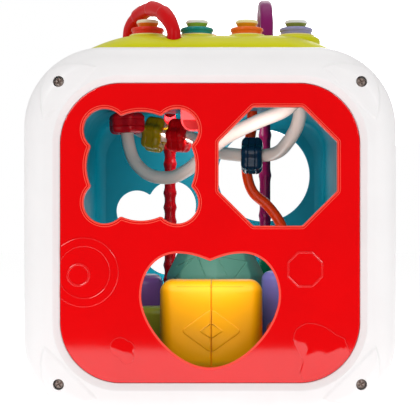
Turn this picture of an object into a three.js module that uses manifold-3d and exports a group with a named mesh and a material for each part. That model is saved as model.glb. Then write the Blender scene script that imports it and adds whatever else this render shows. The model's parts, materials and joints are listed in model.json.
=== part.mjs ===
// A baby activity cube: a rounded two-part case with a shape-sorter front and back, a bead maze and
// loose blocks inside, spring-return buttons with turning rings on a domed top deck, and side activities.
// Millimetres, +Z up, origin at the middle of the underside, front face towards -Y.
import * as THREE from 'three';
import { ConvexGeometry } from 'three/addons/geometries/ConvexGeometry.js';
import { mergeVertices } from 'three/addons/utils/BufferGeometryUtils.js';
import Module from 'manifold-3d';

const wasm = await Module();
wasm.setup();

// ---------------------------------------------------------------- driving dimensions
const CUBE = 300; // side of the case
const HALF = CUBE / 2;
const MID_Z = HALF; // height of the case's centre
const GAP = 0.3; // clearance between pieces that rest on each other
const WALL = 3; // wall of the mouldings
const CORNER_R = 65; // rounding of the case seen from the front
const EDGE_R = 20; // rounding of the front and back edges

const PANEL = { half: 119.5, r: 48.5, face: 145, thick: 3, arc: 4 }; // front and back shape panels
const LIP = { half: 131, r: 60, chamfer: 5, deep: 8 }; // ring that frames each shape panel
const TUB = { half: 114.5, r: 32, wall: 2.5, flange: 127 }; // inner bin

const SIDE = { y: 94.6, z: 71.6, r: 34, rim: 4, face: 149, floor: 138, back: 135, flange: 5 };
const BASE = { x: 77.6, y: 94.6, r: 30, low: 1.5, flange: 5 };

const DECK = { half: 113, r: 42, rise: 17, shoulder: 40, slope: 50, ease: 1.6, skirt: 288, flange: 3.5 };
const DECK_TOP = CUBE + DECK.rise;

const BUTTON = { y: -60, x: [-53.5, -11.2, 31.6, 73.9], travel: 3 };
const MOUND = { top: 319.6, r: 14.4, base: 20.5, foot: 304, hollow: 13 };
const CAP = { r: 9.6, low: 329.3, high: 332.6 };
const NECK_R = 7.75;
const BUTTON_BORE_R = 8.2;
const RING = { bore: 8.3, r: 14.2, low: MOUND.top + GAP, high: 326 };
const BOARD = { low: 284, high: 285.6, x0: -80, x1: 100, y0: -76, y1: -44 };
const SPRING = { r: 7, wire: 0.7, turns: 3.5 };

const SCREW = { out: 120.5, head: 4, bore: 4.5, shaft: 2, pilot: 2.3, boss: 8, split: -100 };
const TUBE_R = {
  red_arch: 6.3, purple_arch: 6, orange_arch: 5, red_post: 5.5, purple_post: 5.2, orange_tube: 5,
  cream_tube_front: 5.9, cream_tube_rear: 5.9,
};
const BEAD = { r: 17.2, thick: 19, lobes: 6, lobe: 1.5, bore: 7.6 };
const GEAR = { module: 4, thick: 8.4, bore: 5.4, pin: 5, head: 8 };
const HOLE_CLEAR = 0.8; // clearance round tube ends and panels

const COLOURS = {
  white: 0xf2f0ee, red: 0xe80c0c, teal: 0x0d8296, lime: 0xdcdc28, cream: 0xdcc8be,
  darkRed: 0x9e0a18, olive: 0x96780a, navy: 0x162238, yellow: 0xf8c000, mint: 0x6fa89a,
  purple: 0x5f3f73, lilac: 0x8a7f9c, periwinkle: 0x7570b4, orange: 0xf04a10, green: 0x0a6a48,
  plum: 0x701848, steel: 0x8a8480, board: 0x1f6b3a, black: 0x26262a, blue: 0x2f86c8,
};

// ---------------------------------------------------------------- solids
function solidFrom(geometry) {
  const bare = geometry.clone();
  bare.deleteAttribute('normal');
  bare.deleteAttribute('uv');
  const merged = mergeVertices(bare, 1e-4);
  const triVerts = new Uint32Array(merged.index.array);
  const vertProperties = merged.attributes.position.array;
  const solid = new wasm.Manifold(new wasm.Mesh({ numProp: 3, vertProperties, triVerts }));
  return solid;
}

function geometryFrom(solid) {
  const mesh = solid.getMesh();
  const geometry = new THREE.BufferGeometry();
  geometry.setAttribute('position', new THREE.BufferAttribute(mesh.vertProperties, 3));
  geometry.setIndex(new THREE.BufferAttribute(mesh.triVerts, 1));
  return geometry;
}

const joined = (first, ...rest) => rest.reduce((sum, solid) => sum.add(solid), first);
const cut = (first, ...rest) => rest.reduce((left, solid) => left.subtract(solid), first);

// ---------------------------------------------------------------- outlines
function roundedRect(halfWide, halfHigh, r) {
  const shape = new THREE.Shape();
  const x = halfWide - r;
  const y = halfHigh - r;
  shape.absarc(x, y, r, 0, Math.PI / 2);
  shape.absarc(-x, y, r, Math.PI / 2, Math.PI);
  shape.absarc(-x, -y, r, Math.PI, 1.5 * Math.PI);
  shape.absarc(x, -y, r, 1.5 * Math.PI, 2 * Math.PI);
  return shape;
}

// An outline given by its distance from the origin in each direction.
function polarShape(distance, count) {
  const points = [];
  for (let i = 0; i < count; i++) {
    const turn = (2 * Math.PI * i) / count;
    const r = distance(turn);
    points.push(new THREE.Vector2(r * Math.cos(turn), r * Math.sin(turn)));
  }
  return new THREE.Shape(points);
}

const circle = (r, count) => polarShape(() => r, count);

// How far a ray from the origin runs before it leaves a disc that holds or touches it.
function rayThroughDisc(turn, x, y, r) {
  const along = x * Math.cos(turn) + y * Math.sin(turn);
  const across = x * Math.sin(turn) - y * Math.cos(turn);
  return Math.abs(across) > r ? 0 : along + Math.sqrt(r * r - across * across);
}

// Four round lobes joined by shallow arcs, like a bear's head and paws.
function bearShape(grow) {
  const lobe = { at: 29, r: 16.8 + grow };
  const side = { reach: 43.5 + grow, r: 38 + grow };
  const signs = [[1, 1], [-1, 1], [-1, -1], [1, -1]];
  const axes = [[1, 0], [0, 1], [-1, 0], [0, -1]];
  const inset = side.reach - side.r;
  return polarShape((turn) => {
    const lobes = signs.map(([sx, sy]) => rayThroughDisc(turn, lobe.at * sx, lobe.at * sy, lobe.r));
    const sides = axes.map(([ax, ay]) => rayThroughDisc(turn, inset * ax, inset * ay, side.r));
    return Math.max(...lobes, ...sides);
  }, 64);
}

function octagonShape(halfWide) {
  const reach = halfWide / Math.cos(Math.PI / 8);
  const points = [];
  for (let i = 0; i < 8; i++) {
    const turn = ((i + 0.5) * Math.PI) / 4;
    points.push(new THREE.Vector2(reach * Math.cos(turn), reach * Math.sin(turn)));
  }
  return new THREE.Shape(points);
}

// A broad heart with a round foot; its origin is level with its widest part.
function heartShape() {
  const shape = new THREE.Shape();
  shape.moveTo(0, 27.7);
  shape.bezierCurveTo(7, 30.5, 15, 33.8, 26, 33.8);
  shape.bezierCurveTo(42, 33.8, 54.9, 20, 54.9, 0);
  shape.bezierCurveTo(54.9, -24, 27, -57.3, 0, -57.3);
  shape.bezierCurveTo(-27, -57.3, -54.9, -24, -54.9, 0);
  shape.bezierCurveTo(-54.9, 20, -42, 33.8, -26, 33.8);
  shape.bezierCurveTo(-15, 33.8, -7, 30.5, 0, 27.7);
  return shape;
}

// A cloud: the outline of overlapping discs, seen from a point inside them all.
const CLOUD_CENTRE = [-40, 155];
const CLOUD_DISCS = [
  [-73.3, 172.1, 20.6], [-38.2, 178.1, 24.1], [-10, 154, 17.1], [-40.2, 135.9, 28.1], [-65.3, 143, 22.1],
];
function cloudShape() {
  const [cx, cy] = CLOUD_CENTRE;
  return polarShape(
    (turn) => Math.max(...CLOUD_DISCS.map(([x, y, r]) => rayThroughDisc(turn, x - cx, y - cy, r))),
    60,
  );
}

// ---------------------------------------------------------------- extrusions along each axis
const extrude = (shape, depth, more = {}) =>
  new THREE.ExtrudeGeometry(shape, { depth, bevelEnabled: false, curveSegments: 3, ...more });

// The outline's x and y become X and Z, and it runs from y0 to y1.
function alongY(shape, y0, y1, x = 0, z = 0, more = {}) {
  const trim = more.bevelThickness ?? 0;
  const geometry = extrude(shape, y1 - y0 - 2 * trim, more);
  return solidFrom(geometry.translate(0, 0, trim - y1).rotateX(Math.PI / 2).translate(x, 0, z));
}

// The outline's x and y become Y and Z, and it runs from x0 to x1.
function alongX(shape, x0, x1, y = 0, z = 0, more = {}) {
  const trim = more.bevelThickness ?? 0;
  const geometry = extrude(shape, x1 - x0 - 2 * trim, more);
  geometry.translate(0, 0, trim + x0).rotateX(Math.PI / 2).rotateZ(Math.PI / 2);
  return solidFrom(geometry.translate(0, y, z));
}

function alongZ(shape, z0, z1, x = 0, y = 0, more = {}) {
  const trim = more.bevelThickness ?? 0;
  return solidFrom(extrude(shape, z1 - z0 - 2 * trim, more).translate(x, y, z0 + trim));
}

const bevel = (thickness, size, segments) => ({
  bevelEnabled: true, bevelThickness: thickness, bevelSize: size, bevelSegments: segments,
});

// A block whose front and back edges are rounded by r, and its outline's corners by corner.
function softBlock({ x, y, z, corner, r }) {
  const [x0, x1] = x;
  const [z0, z1] = z;
  const outline = roundedRect((x1 - x0) / 2 - r, (z1 - z0) / 2 - r, corner - r);
  return alongY(outline, y[0], y[1], (x0 + x1) / 2, (z0 + z1) / 2, { ...bevel(r, r, 2), curveSegments: 2 });
}

// A profile of [radius, z] pairs turned about a vertical axis at x, y.
function turned(profile, sides, x = 0, y = 0) {
  const points = profile.map(([r, z]) => new THREE.Vector2(r, z));
  const geometry = new THREE.LatheGeometry(points, sides).rotateX(Math.PI / 2);
  return solidFrom(geometry.translate(x, y, 0));
}

// A profile of [radius, distance] pairs turned about an axis along Y, from y towards +Y.
function turnedAlongY(profile, sides, x, y, z) {
  const points = profile.map(([r, along]) => new THREE.Vector2(r, along));
  return solidFrom(new THREE.LatheGeometry(points, sides).translate(x, y, z));
}

const curveThrough = (route) =>
  new THREE.CatmullRomCurve3(route.map((p) => new THREE.Vector3(...p)), false, 'centripetal');

function tubeThrough(route, r, steps, sides = 8) {
  return solidFrom(extrude(circle(r, sides), 0, { steps, extrudePath: curveThrough(route) }));
}

// ---------------------------------------------------------------- tube routes
const ROUTES = {
  cream_tube_front: [
    [-77, 35, 272], [-77, 35, 262], [-77, 35, 251], [-76, 34, 236], [-70, 28, 217], [-56, 15, 203.5],
    [-36, -4, 200], [-17.5, -32, 207], [-1.5, -60, 220.5], [17, -86, 232.5], [40, -102, 242.5],
    [61, -109, 251], [70, -110.5, 259], [71, -111, 265], [71, -111, 272],
  ],
  cream_tube_rear: [
    [-75, 92, 272], [-75, 92, 263], [-73, 85, 254], [-65, 70, 246.5], [-53, 65.5, 243.5], [-41, 62, 242],
    [-29, 58, 242], [-17, 52.5, 239.5], [-4.5, 40, 230.5], [9, 24, 224], [22, 12, 221.5], [31, 8, 220.5],
    [52, 4.5, 220.5], [61, -6, 222.8], [68, -28, 229.5], [75, -54, 242], [77, -66, 253], [77, -68, 263],
    [77, -68, 272],
  ],
  orange_tube: [
    [39.5, 55, 272], [39.5, 55, 252], [37.5, 55, 237.5], [35, 55, 220.5], [35, 55, 204.5], [40.5, 55, 188.5],
    [54.5, 54, 175.5], [65.5, 50, 160], [71, 44, 143.5], [72.5, 40, 120], [72.5, 40, 80], [72.5, 40, 29],
  ],
  red_post: [[-38.6, 88, 29], [-38.6, 88, 110], [-38.6, 88, 190], [-38.6, 88, 272]],
  purple_post: [[53.6, 100, 29], [53.6, 100, 110], [53.6, 100, 190], [53.6, 100, 272]],
};
const ARCHES = {
  red_arch: [
    [-30, -100, 296], [-30, -100, 308], [-30.4, -99.4, 318], [-37, -89, 332], [-52, -58, 342.5],
    [-68, -29, 334], [-72, -20, 320], [-72, -20, 308], [-72, -20, 296],
  ],
  purple_arch: [
    [50, -30, 296], [50, -30, 309], [50, -30, 322], [50, -17, 345], [50, 25, 357], [50, 67, 345],
    [50, 80, 322], [50, 80, 309], [50, 80, 296],
  ],
  orange_arch: [
    [-18, 25, 296], [-18, 25, 307], [-18, 25, 317], [-13, 25, 326], [-3, 25, 329.5], [7, 25, 326],
    [12, 25, 317], [12, 25, 307], [12, 25, 296],
  ],
};
const STEPS = {
  cream_tube_front: 28, cream_tube_rear: 32, orange_tube: 22, red_post: 4, purple_post: 4,
  red_arch: 16, purple_arch: 18, orange_arch: 14,
};

// A vertical hole for each end of a tube that reaches the given height.
function socketCutters(routes, z0, z1, endZ) {
  const holes = [];
  for (const [name, route] of Object.entries(routes)) {
    for (const [x, y, z] of [route[0], route[route.length - 1]]) {
      if (z === endZ) holes.push(alongZ(circle(TUBE_R[name] + HOLE_CLEAR, 12), z0, z1, x, y));
    }
  }
  return holes;
}

// ---------------------------------------------------------------- the case
function roundedPrism(inset, bevelSegments) {
  const edge = EDGE_R - inset;
  const outline = roundedRect(HALF - EDGE_R, HALF - EDGE_R, CORNER_R - EDGE_R);
  const more = { ...bevel(edge, edge, bevelSegments), curveSegments: 4 };
  return alongY(outline, inset - HALF, HALF - inset, 0, MID_Z, more);
}

function frameOpening(side) {
  const half = PANEL.half + HOLE_CLEAR;
  const r = PANEL.r + HOLE_CLEAR;
  const hole = roundedRect(half, half, r);
  const [y0, y1] = side < 0 ? [-HALF - 1, -100] : [100, HALF + 1];
  const through = alongY(hole, y0, y1, 0, MID_Z, { curveSegments: PANEL.arc });
  // the sloping lip widens towards the outside
  const flare = { ...bevel(LIP.chamfer, LIP.chamfer, 1), curveSegments: PANEL.arc };
  const face = side * (HALF - LIP.chamfer);
  const far = side * (HALF + 4 * LIP.chamfer);
  const wide = alongY(hole, Math.min(face, far), Math.max(face, far), 0, MID_Z, flare);
  return [through, wide];
}

function lipRing(side) {
  const inner = side * (HALF - LIP.deep);
  const outer = side * (HALF - 1);
  const outline = roundedRect(LIP.half, LIP.half, LIP.r);
  return alongY(outline, Math.min(inner, outer), Math.max(inner, outer), 0, MID_Z);
}

const screwPlaces = [[-1, 1], [1, 1], [-1, -1], [1, -1]].map(([sx, sz]) => [
  sx * SCREW.out, MID_Z + sz * SCREW.out,
]);

function caseShell() {
  let shell = roundedPrism(0, 3).subtract(roundedPrism(WALL, 2));
  shell = joined(shell, lipRing(-1), lipRing(1));
  for (const side of [-1, 1]) shell = cut(shell, ...frameOpening(side));
  const sideHole = roundedRect(SIDE.y + HOLE_CLEAR, SIDE.z + HOLE_CLEAR, SIDE.r + HOLE_CLEAR);
  const baseHole = roundedRect(BASE.x + HOLE_CLEAR, BASE.y + HOLE_CLEAR, BASE.r + HOLE_CLEAR);
  const deckHole = roundedRect(DECK.half + HOLE_CLEAR, DECK.half + HOLE_CLEAR, DECK.r + HOLE_CLEAR);
  return cut(
    shell,
    alongX(sideHole, -HALF - 1, -HALF + 20, 0, MID_Z),
    alongX(sideHole, HALF - 20, HALF + 1, 0, MID_Z),
    alongZ(baseHole, -1, 20),
    alongZ(deckHole, CUBE - 20, CUBE + 1),
  );
}

function halfSpace(y0, y1) {
  return alongY(roundedRect(CUBE, CUBE, 1), y0, y1, 0, MID_Z, { curveSegments: 1 });
}

function housings() {
  const shell = caseShell();
  let front = shell.intersect(halfSpace(-CUBE, -GAP / 2));
  let rear = shell.intersect(halfSpace(GAP / 2, CUBE));
  for (const [x, z] of screwPlaces) {
    front = front.add(alongY(circle(SCREW.boss, 10), -HALF + 2, SCREW.split, x, z));
    front = front.subtract(alongY(circle(SCREW.bore, 12), -HALF - 1, -HALF + 10, x, z));
    front = front.subtract(alongY(circle(SCREW.pilot, 8), -HALF + 9, SCREW.split + 1, x, z));
    rear = rear.add(alongY(circle(SCREW.boss, 10), SCREW.split + GAP, HALF - 2, x, z));
    rear = rear.subtract(alongY(circle(SCREW.pilot, 8), SCREW.split - 1, SCREW.split + 26, x, z));
  }
  return { front, rear };
}

function caseScrew(x, z) {
  const top = -HALF + 10 - GAP;
  const head = SCREW.head;
  const profile = [
    [0, -2.6], [head * 0.4, -1.4], [head * 0.5, -3], [head, -1.6], [head, 0], [SCREW.shaft, 0],
    [SCREW.shaft, 34], [0, 36.5],
  ];
  return turnedAlongY(profile, 10, x, top, z);
}

// ---------------------------------------------------------------- shape panels and bin
const FRONT_HOLES = {
  bear: { x: -55.2, z: 203.4 },
  octagon: { x: 54.2, z: 203.2, half: 47.3 },
  heart: { x: 0, z: 100 },
};
const ROUND_HOLE = { x: 53.9, z: 207.8, r: 46.2 };
const COLLAR = { wide: 2.4, back: 3, front: 1.2 }; // raised rim round each front hole

function panelPlate(y0, y1) {
  return alongY(roundedRect(PANEL.half, PANEL.half, PANEL.r), y0, y1, 0, MID_Z, { curveSegments: PANEL.arc });
}

function frontPanel() {
  const face = -PANEL.face;
  const { bear, octagon, heart } = FRONT_HOLES;
  const y0 = face - COLLAR.front;
  const y1 = face + PANEL.thick + COLLAR.back;
  const through = [y0 - 1, y1 + 1];
  const more = { curveSegments: 6 };
  let panel = panelPlate(face, face + PANEL.thick);
  panel = joined(
    panel,
    alongY(bearShape(COLLAR.wide), y0, y1, bear.x, bear.z),
    alongY(octagonShape(octagon.half + COLLAR.wide), y0, y1, octagon.x, octagon.z),
  );
  return cut(
    panel,
    alongY(bearShape(0), ...through, bear.x, bear.z),
    alongY(octagonShape(octagon.half), ...through, octagon.x, octagon.z),
    alongY(heartShape(), ...through, heart.x, heart.z, more),
  );
}

function backPanel() {
  const y1 = PANEL.face;
  const y0 = y1 - PANEL.thick;
  return cut(
    panelPlate(y0, y1),
    alongY(circle(ROUND_HOLE.r, 32), y0 - 1, y1 + 1, ROUND_HOLE.x, ROUND_HOLE.z),
    alongY(cloudShape(), y0 - 1, y1 + 1, ...CLOUD_CENTRE),
  );
}

const TUB_FRONT = -PANEL.face + PANEL.thick + GAP;
const TUB_BACK = PANEL.face - PANEL.thick - GAP;
const TUB_TOP = MID_Z + TUB.half + TUB.wall;
const TUB_FLOOR = MID_Z - TUB.half;
const FLANGE = { thick: 2.4, r: 56 };

function innerTub() {
  const outer = TUB.half + TUB.wall;
  const body = alongY(roundedRect(outer, outer, TUB.r + TUB.wall), TUB_FRONT, TUB_BACK, 0, MID_Z);
  const flange = alongY(
    roundedRect(TUB.flange, TUB.flange, FLANGE.r), TUB_FRONT, TUB_FRONT + FLANGE.thick, 0, MID_Z,
  );
  const hollow = alongY(
    roundedRect(TUB.half, TUB.half, TUB.r), TUB_FRONT - 1, TUB_BACK + 1, 0, MID_Z,
  );
  return cut(
    body.add(flange),
    hollow,
    ...socketCutters(ROUTES, TUB_TOP - 2 * TUB.wall, TUB_TOP + 1, 272),
    ...socketCutters(ROUTES, TUB_FLOOR - TUB.wall - 1, TUB_FLOOR + 1, 29),
  );
}

// A rounded bracket that ties the bin's ceiling to the front panel, between the upper holes.
const BRACKET = { x: [-23.5, 5], y: [-138, -122], z: [232.5, 264], corner: 8, r: 3 };

// ---------------------------------------------------------------- side panels and base
function sidePanel(side) {
  const flat = (x) => side * x;
  const span = (a, b) => [Math.min(flat(a), flat(b)), Math.max(flat(a), flat(b))];
  const outline = (grow) => roundedRect(SIDE.y + grow, SIDE.z + grow, SIDE.r + grow);
  const body = alongX(outline(0), ...span(SIDE.back, SIDE.face), 0, MID_Z);
  const flange = alongX(outline(SIDE.flange), ...span(HALF - WALL - GAP - 2, HALF - WALL - GAP), 0, MID_Z);
  const recess = alongX(outline(-SIDE.rim), ...span(SIDE.floor, HALF + 1), 0, MID_Z);
  return body.add(flange).subtract(recess);
}

function basePanel() {
  const outline = (grow) => roundedRect(BASE.x + grow, BASE.y + grow, BASE.r + grow);
  const top = WALL + GAP;
  return alongZ(outline(0), BASE.low, top + 2).add(alongZ(outline(BASE.flange), top, top + 2));
}

// ---------------------------------------------------------------- gears on the left, slider on the right
const gearRadius = (teeth) => (GEAR.module * teeth) / 2;
const GEAR_TEETH = { large: 16, small: 12 };
const GEAR_APART = gearRadius(GEAR_TEETH.large) + gearRadius(GEAR_TEETH.small);
const GEAR_DROP = Math.PI / 8; // each small gear lies this far below the large one's level, a whole tooth
const [GEAR_SPREAD, GEAR_FALL] = [GEAR_APART * Math.cos(GEAR_DROP), GEAR_APART * Math.sin(GEAR_DROP)];
const GEAR_Z = 158;
const GEARS = [
  { name: 'gear_large', teeth: GEAR_TEETH.large, y: 0, z: GEAR_Z, colour: COLOURS.yellow },
  {
    name: 'gear_front', teeth: GEAR_TEETH.small, y: -GEAR_SPREAD, z: GEAR_Z - GEAR_FALL,
    colour: COLOURS.orange,
  },
  {
    name: 'gear_rear', teeth: GEAR_TEETH.small, y: GEAR_SPREAD, z: GEAR_Z - GEAR_FALL,
    colour: COLOURS.periwinkle,
  },
];

// Trapezoid teeth with play between them. phase turns the wheel so that its teeth mesh.
function gearShape(teeth, phase) {
  const pitch = gearRadius(teeth);
  const tip = pitch + 0.75 * GEAR.module;
  const root = pitch - 0.95 * GEAR.module;
  const step = (2 * Math.PI) / teeth;
  const points = [];
  for (let i = 0; i < teeth; i++) {
    const centre = i * step + phase;
    for (const [r, offset] of [[root, -0.3], [tip, -0.13], [tip, 0.13], [root, 0.3]]) {
      const turn = centre + offset * step;
      points.push(new THREE.Vector2(r * Math.cos(turn), r * Math.sin(turn)));
    }
  }
  return new THREE.Shape(points);
}

// A tooth of the large gear points at each small gear, which has a gap there.
function gearPhase(gear) {
  const large = GEARS[0];
  if (gear === large) return Math.atan2(GEARS[1].z - large.z, GEARS[1].y - large.y);
  const towards = Math.atan2(large.z - gear.z, large.y - gear.y);
  return towards + Math.PI / gear.teeth;
}

const GEAR_OUT = -HALF + 2.4;
function gearBody(gear) {
  const outline = gearShape(gear.teeth, gearPhase(gear));
  const blank = alongX(outline, GEAR_OUT, GEAR_OUT + GEAR.thick, gear.y, gear.z);
  return blank.subtract(alongX(circle(GEAR.bore, 12), -HALF - 1, -SIDE.back, gear.y, gear.z));
}

const gearHole = (gear) => alongX(circle(GEAR.pin + GAP, 12), -HALF - 1, -SIDE.back + 1, gear.y, gear.z);

function gearPin(gear) {
  const head = alongX(circle(GEAR.head, 12), -HALF + 0.5, GEAR_OUT - GAP, gear.y, gear.z);
  return head.add(alongX(circle(GEAR.pin, 12), -HALF + 1, -SIDE.back + 1, gear.y, gear.z));
}

const SLOT = { half: 62, wide: 6, z: MID_Z, neck: 5.4 };
const SLIDER = { r: 15, y: -50, travel: 100 };

function sliderKnob() {
  const at = [SLIDER.y, SLOT.z];
  const neck = alongX(circle(SLOT.neck, 12), SIDE.back - 3, SIDE.floor + 3, ...at);
  const stop = alongX(circle(SLOT.neck + 4, 12), SIDE.back - 3, SIDE.back - GAP, ...at);
  const grip = alongX(
    circle(SLIDER.r - 2.5, 18), SIDE.floor + GAP, HALF - 0.7, ...at, bevel(2.5, 2.5, 1),
  );
  return joined(neck, stop, grip);
}

// ---------------------------------------------------------------- top deck and buttons
const GRILLE = { x: 76, y: 52, r: 2.2, ring: 9 };
const DOOR = { x: -8, y: 62, halfX: 36, halfY: 17, r: 5, thick: 2, ledge: 4 };
const DOOR_SCREW = { x: DOOR.x + DOOR.halfX - 6, y: DOOR.y };

// One level of the deck's pillow, which slopes away gently to the sides and steeply to the front and back.
function domeLevel(inset, turn) {
  const fall = 1 - Math.cos(turn);
  const slope = DECK.slope * (1 - (1 - Math.sin(turn)) ** (1 / DECK.ease));
  const halfX = DECK.half - inset - slope;
  const halfY = DECK.half - inset - (DECK.shoulder - inset) * fall;
  const r = DECK.r - inset - (DECK.shoulder - inset) * fall;
  const z = CUBE + (DECK.rise - inset) * Math.sin(turn);
  return roundedRect(halfX, halfY, r).getPoints(3).map((point) => [point.x, point.y, z]);
}

function dome(inset, z0, levels) {
  const points = [];
  for (let i = 0; i <= levels; i++) {
    points.push(...domeLevel(inset, (i * Math.PI) / 2 / levels));
  }
  const outer = DECK.half - inset;
  const skirt = alongZ(roundedRect(outer, outer, DECK.r - inset), z0, CUBE);
  return wasm.Manifold.hull(points).add(skirt);
}

function topDeck() {
  const flangeHalf = DECK.half + DECK.flange;
  const flangeOutline = roundedRect(flangeHalf, flangeHalf, DECK.r + DECK.flange);
  const flange = alongZ(flangeOutline, DECK.skirt - WALL, DECK.skirt);
  let deck = joined(dome(0, DECK.skirt - WALL, 5), flange);
  deck = deck.subtract(dome(WALL, DECK.skirt - 10, 5));
  const mound = (x) => turned([
    [0, MOUND.foot], [MOUND.base, MOUND.foot], [MOUND.base, DECK_TOP - 0.4], [MOUND.r + 2, 318.4],
    [MOUND.r, MOUND.top], [0, MOUND.top],
  ], 14, x, BUTTON.y);
  const chamber = (x) => alongZ(circle(MOUND.hollow, 14), MOUND.foot - 1, DECK_UNDER, x, BUTTON.y);
  const post = (x) => alongZ(circle(3.5, 10), BOARD.high + GAP, DECK_TOP - 2, x, BUTTON.y)
    .intersect(dome(1, DECK.skirt - WALL, 5));
  deck = joined(deck, ...BUTTON.x.map(mound));
  deck = cut(deck, ...BUTTON.x.map(chamber));
  deck = joined(deck, post(BOARD.x0 + 5), post(BOARD.x1 - 6));
  // the battery door lies in a rebate with a ledge round it
  const { x, y, halfX, halfY, r, thick, ledge } = DOOR;
  const rebate = alongZ(roundedRect(halfX + GAP, halfY + GAP, r), DECK_TOP - thick - GAP, DECK_TOP + 2, x, y);
  const well = alongZ(roundedRect(halfX - ledge, halfY - 1, 2), DECK_TOP - 9, DECK_TOP + 2, x, y);
  const screwPad = alongZ(circle(4.5, 12), DECK_TOP - 12, DECK_TOP - thick - GAP, DOOR_SCREW.x, y);
  const grille = [alongZ(circle(GRILLE.r, 8), DECK_TOP - 9, DECK_TOP + 2, GRILLE.x, GRILLE.y)];
  for (let i = 0; i < 6; i++) {
    const turn = (i * Math.PI) / 3;
    const [hx, hy] = [GRILLE.x + GRILLE.ring * Math.cos(turn), GRILLE.y + GRILLE.ring * Math.sin(turn)];
    grille.push(alongZ(circle(GRILLE.r, 8), DECK_TOP - 20, DECK_TOP + 2, hx, hy));
  }
  deck = cut(deck, rebate, well, ...grille).add(screwPad);
  return cut(
    deck,
    alongZ(circle(1.6, 8), DECK_TOP - 10.5, DECK_TOP + 2, DOOR_SCREW.x, y),
    ...BUTTON.x.map((bx) => alongZ(circle(BUTTON_BORE_R, 14), 310, 325, bx, BUTTON.y)),
    ...socketCutters(ARCHES, 290, 325, 296),
  );
}

const DECK_UNDER = DECK_TOP - WALL;
const PLUNGER_TOP = DECK_UNDER - GAP - 1;
const PLUNGER_LOW = PLUNGER_TOP - 2.5;
const SWITCH_TOP = BOARD.high + 2.2;

function button(x) {
  const pinEnd = SWITCH_TOP + BUTTON.travel + 0.6;
  const rim = CAP.r;
  return turned([
    [0, pinEnd], [4, pinEnd], [4, PLUNGER_LOW], [rim, PLUNGER_LOW], [rim, PLUNGER_TOP],
    [NECK_R, PLUNGER_TOP], [NECK_R, CAP.low], [rim - 0.8, CAP.low], [rim, CAP.low + 1.2],
    [rim - 0.5, CAP.high - 0.9], [rim - 2.2, CAP.high], [0, CAP.high],
  ], 14, x, BUTTON.y);
}

function buttonRing(x) {
  return turned([
    [RING.bore, RING.low], [RING.r - 2, RING.low], [RING.r, RING.low + 2.6], [RING.r, RING.high - 1.4],
    [RING.r - 0.8, RING.high], [RING.bore, RING.high], [RING.bore, RING.low],
  ], 16, x, BUTTON.y);
}

class Helix extends THREE.Curve {
  constructor(r, low, high, turns) {
    super();
    Object.assign(this, { r, low, high, turns });
  }

  getPoint(t, target = new THREE.Vector3()) {
    const turn = 2 * Math.PI * this.turns * t;
    const z = this.low + (this.high - this.low) * t;
    return target.set(this.r * Math.cos(turn), this.r * Math.sin(turn), z);
  }
}

function buttonSpring(x) {
  const clear = SPRING.wire + GAP + 0.3;
  const helix = new Helix(SPRING.r, BOARD.high + clear, PLUNGER_LOW - clear, SPRING.turns);
  const coil = extrude(circle(SPRING.wire, 4), 0, { steps: SPRING.turns * 8, extrudePath: helix });
  return solidFrom(coil.translate(x, BUTTON.y, 0));
}

// ---------------------------------------------------------------- sound module under the deck
function circuitBoard() {
  const { x0, x1, y0, y1, low, high } = BOARD;
  const plate = roundedRect((x1 - x0) / 2, (y1 - y0) / 2, 3);
  const board = alongZ(plate, low, high, (x0 + x1) / 2, (y0 + y1) / 2, { curveSegments: 2 });
  const switchOutline = roundedRect(3, 3, 0.5);
  const plain = { curveSegments: 1 };
  const tactSwitch = (x) => alongZ(switchOutline, high - 0.2, SWITCH_TOP, x, BUTTON.y, plain);
  return joined(board, ...BUTTON.x.map(tactSwitch));
}

function speaker() {
  const profile = [[0, 290], [9, 290], [9, 296], [17, 302], [17, 304.5], [0, 304.5]];
  return turned(profile, 20, GRILLE.x - 4, GRILLE.y);
}

const BOX = { low: 285, high: 305, wall: 1.6, halfX: 29, halfY: 16.2 };
const CELL = { r: 7, long: 48.5 };

function batteryBox() {
  const outer = alongZ(roundedRect(BOX.halfX, BOX.halfY, 3), BOX.low, BOX.high, DOOR.x, DOOR.y);
  const inner = roundedRect(BOX.halfX - BOX.wall, BOX.halfY - BOX.wall, 2);
  return outer.subtract(alongZ(inner, BOX.low + BOX.wall, BOX.high + 1, DOOR.x, DOOR.y));
}

function battery(side) {
  const z = BOX.low + BOX.wall + CELL.r + GAP;
  const y = DOOR.y + side * (CELL.r + 0.15);
  const x0 = DOOR.x - CELL.long / 2;
  const can = alongX(circle(CELL.r, 16), x0, x0 + CELL.long, y, z);
  return can.add(alongX(circle(2.6, 10), x0 - 1.6, x0 + CELL.long, y, z));
}

function batteryDoor() {
  const { x, y, halfX, halfY, r, thick } = DOOR;
  const plate = alongZ(roundedRect(halfX, halfY, r), DECK_TOP - thick, DECK_TOP, x, y);
  return plate.subtract(alongZ(circle(1.9, 10), DECK_TOP - 5, DECK_TOP + 1, DOOR_SCREW.x, y));
}

function doorScrew() {
  return turned([
    [0, DECK_TOP - 10], [1.3, DECK_TOP - 9], [1.3, DECK_TOP + GAP], [3.2, DECK_TOP + GAP],
    [3.2, DECK_TOP + 1], [2, DECK_TOP + 1.9], [0, DECK_TOP + 1.9],
  ], 12, DOOR_SCREW.x, DOOR.y);
}

// ---------------------------------------------------------------- beads and loose blocks
// A flat bead with six soft lobes; its bore lies on local z.
function flowerBead() {
  const edge = 4.5;
  const outline = polarShape(
    (turn) => BEAD.r - BEAD.lobe - edge + BEAD.lobe * Math.cos(BEAD.lobes * turn), 24,
  );
  const half = BEAD.thick / 2;
  const body = alongZ(outline, -half, half, 0, 0, bevel(edge + 1, edge, 1));
  const bore = alongZ(circle(BEAD.bore, 14), -half - 1, half + 1);
  return geometryFrom(body.subtract(bore));
}

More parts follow.
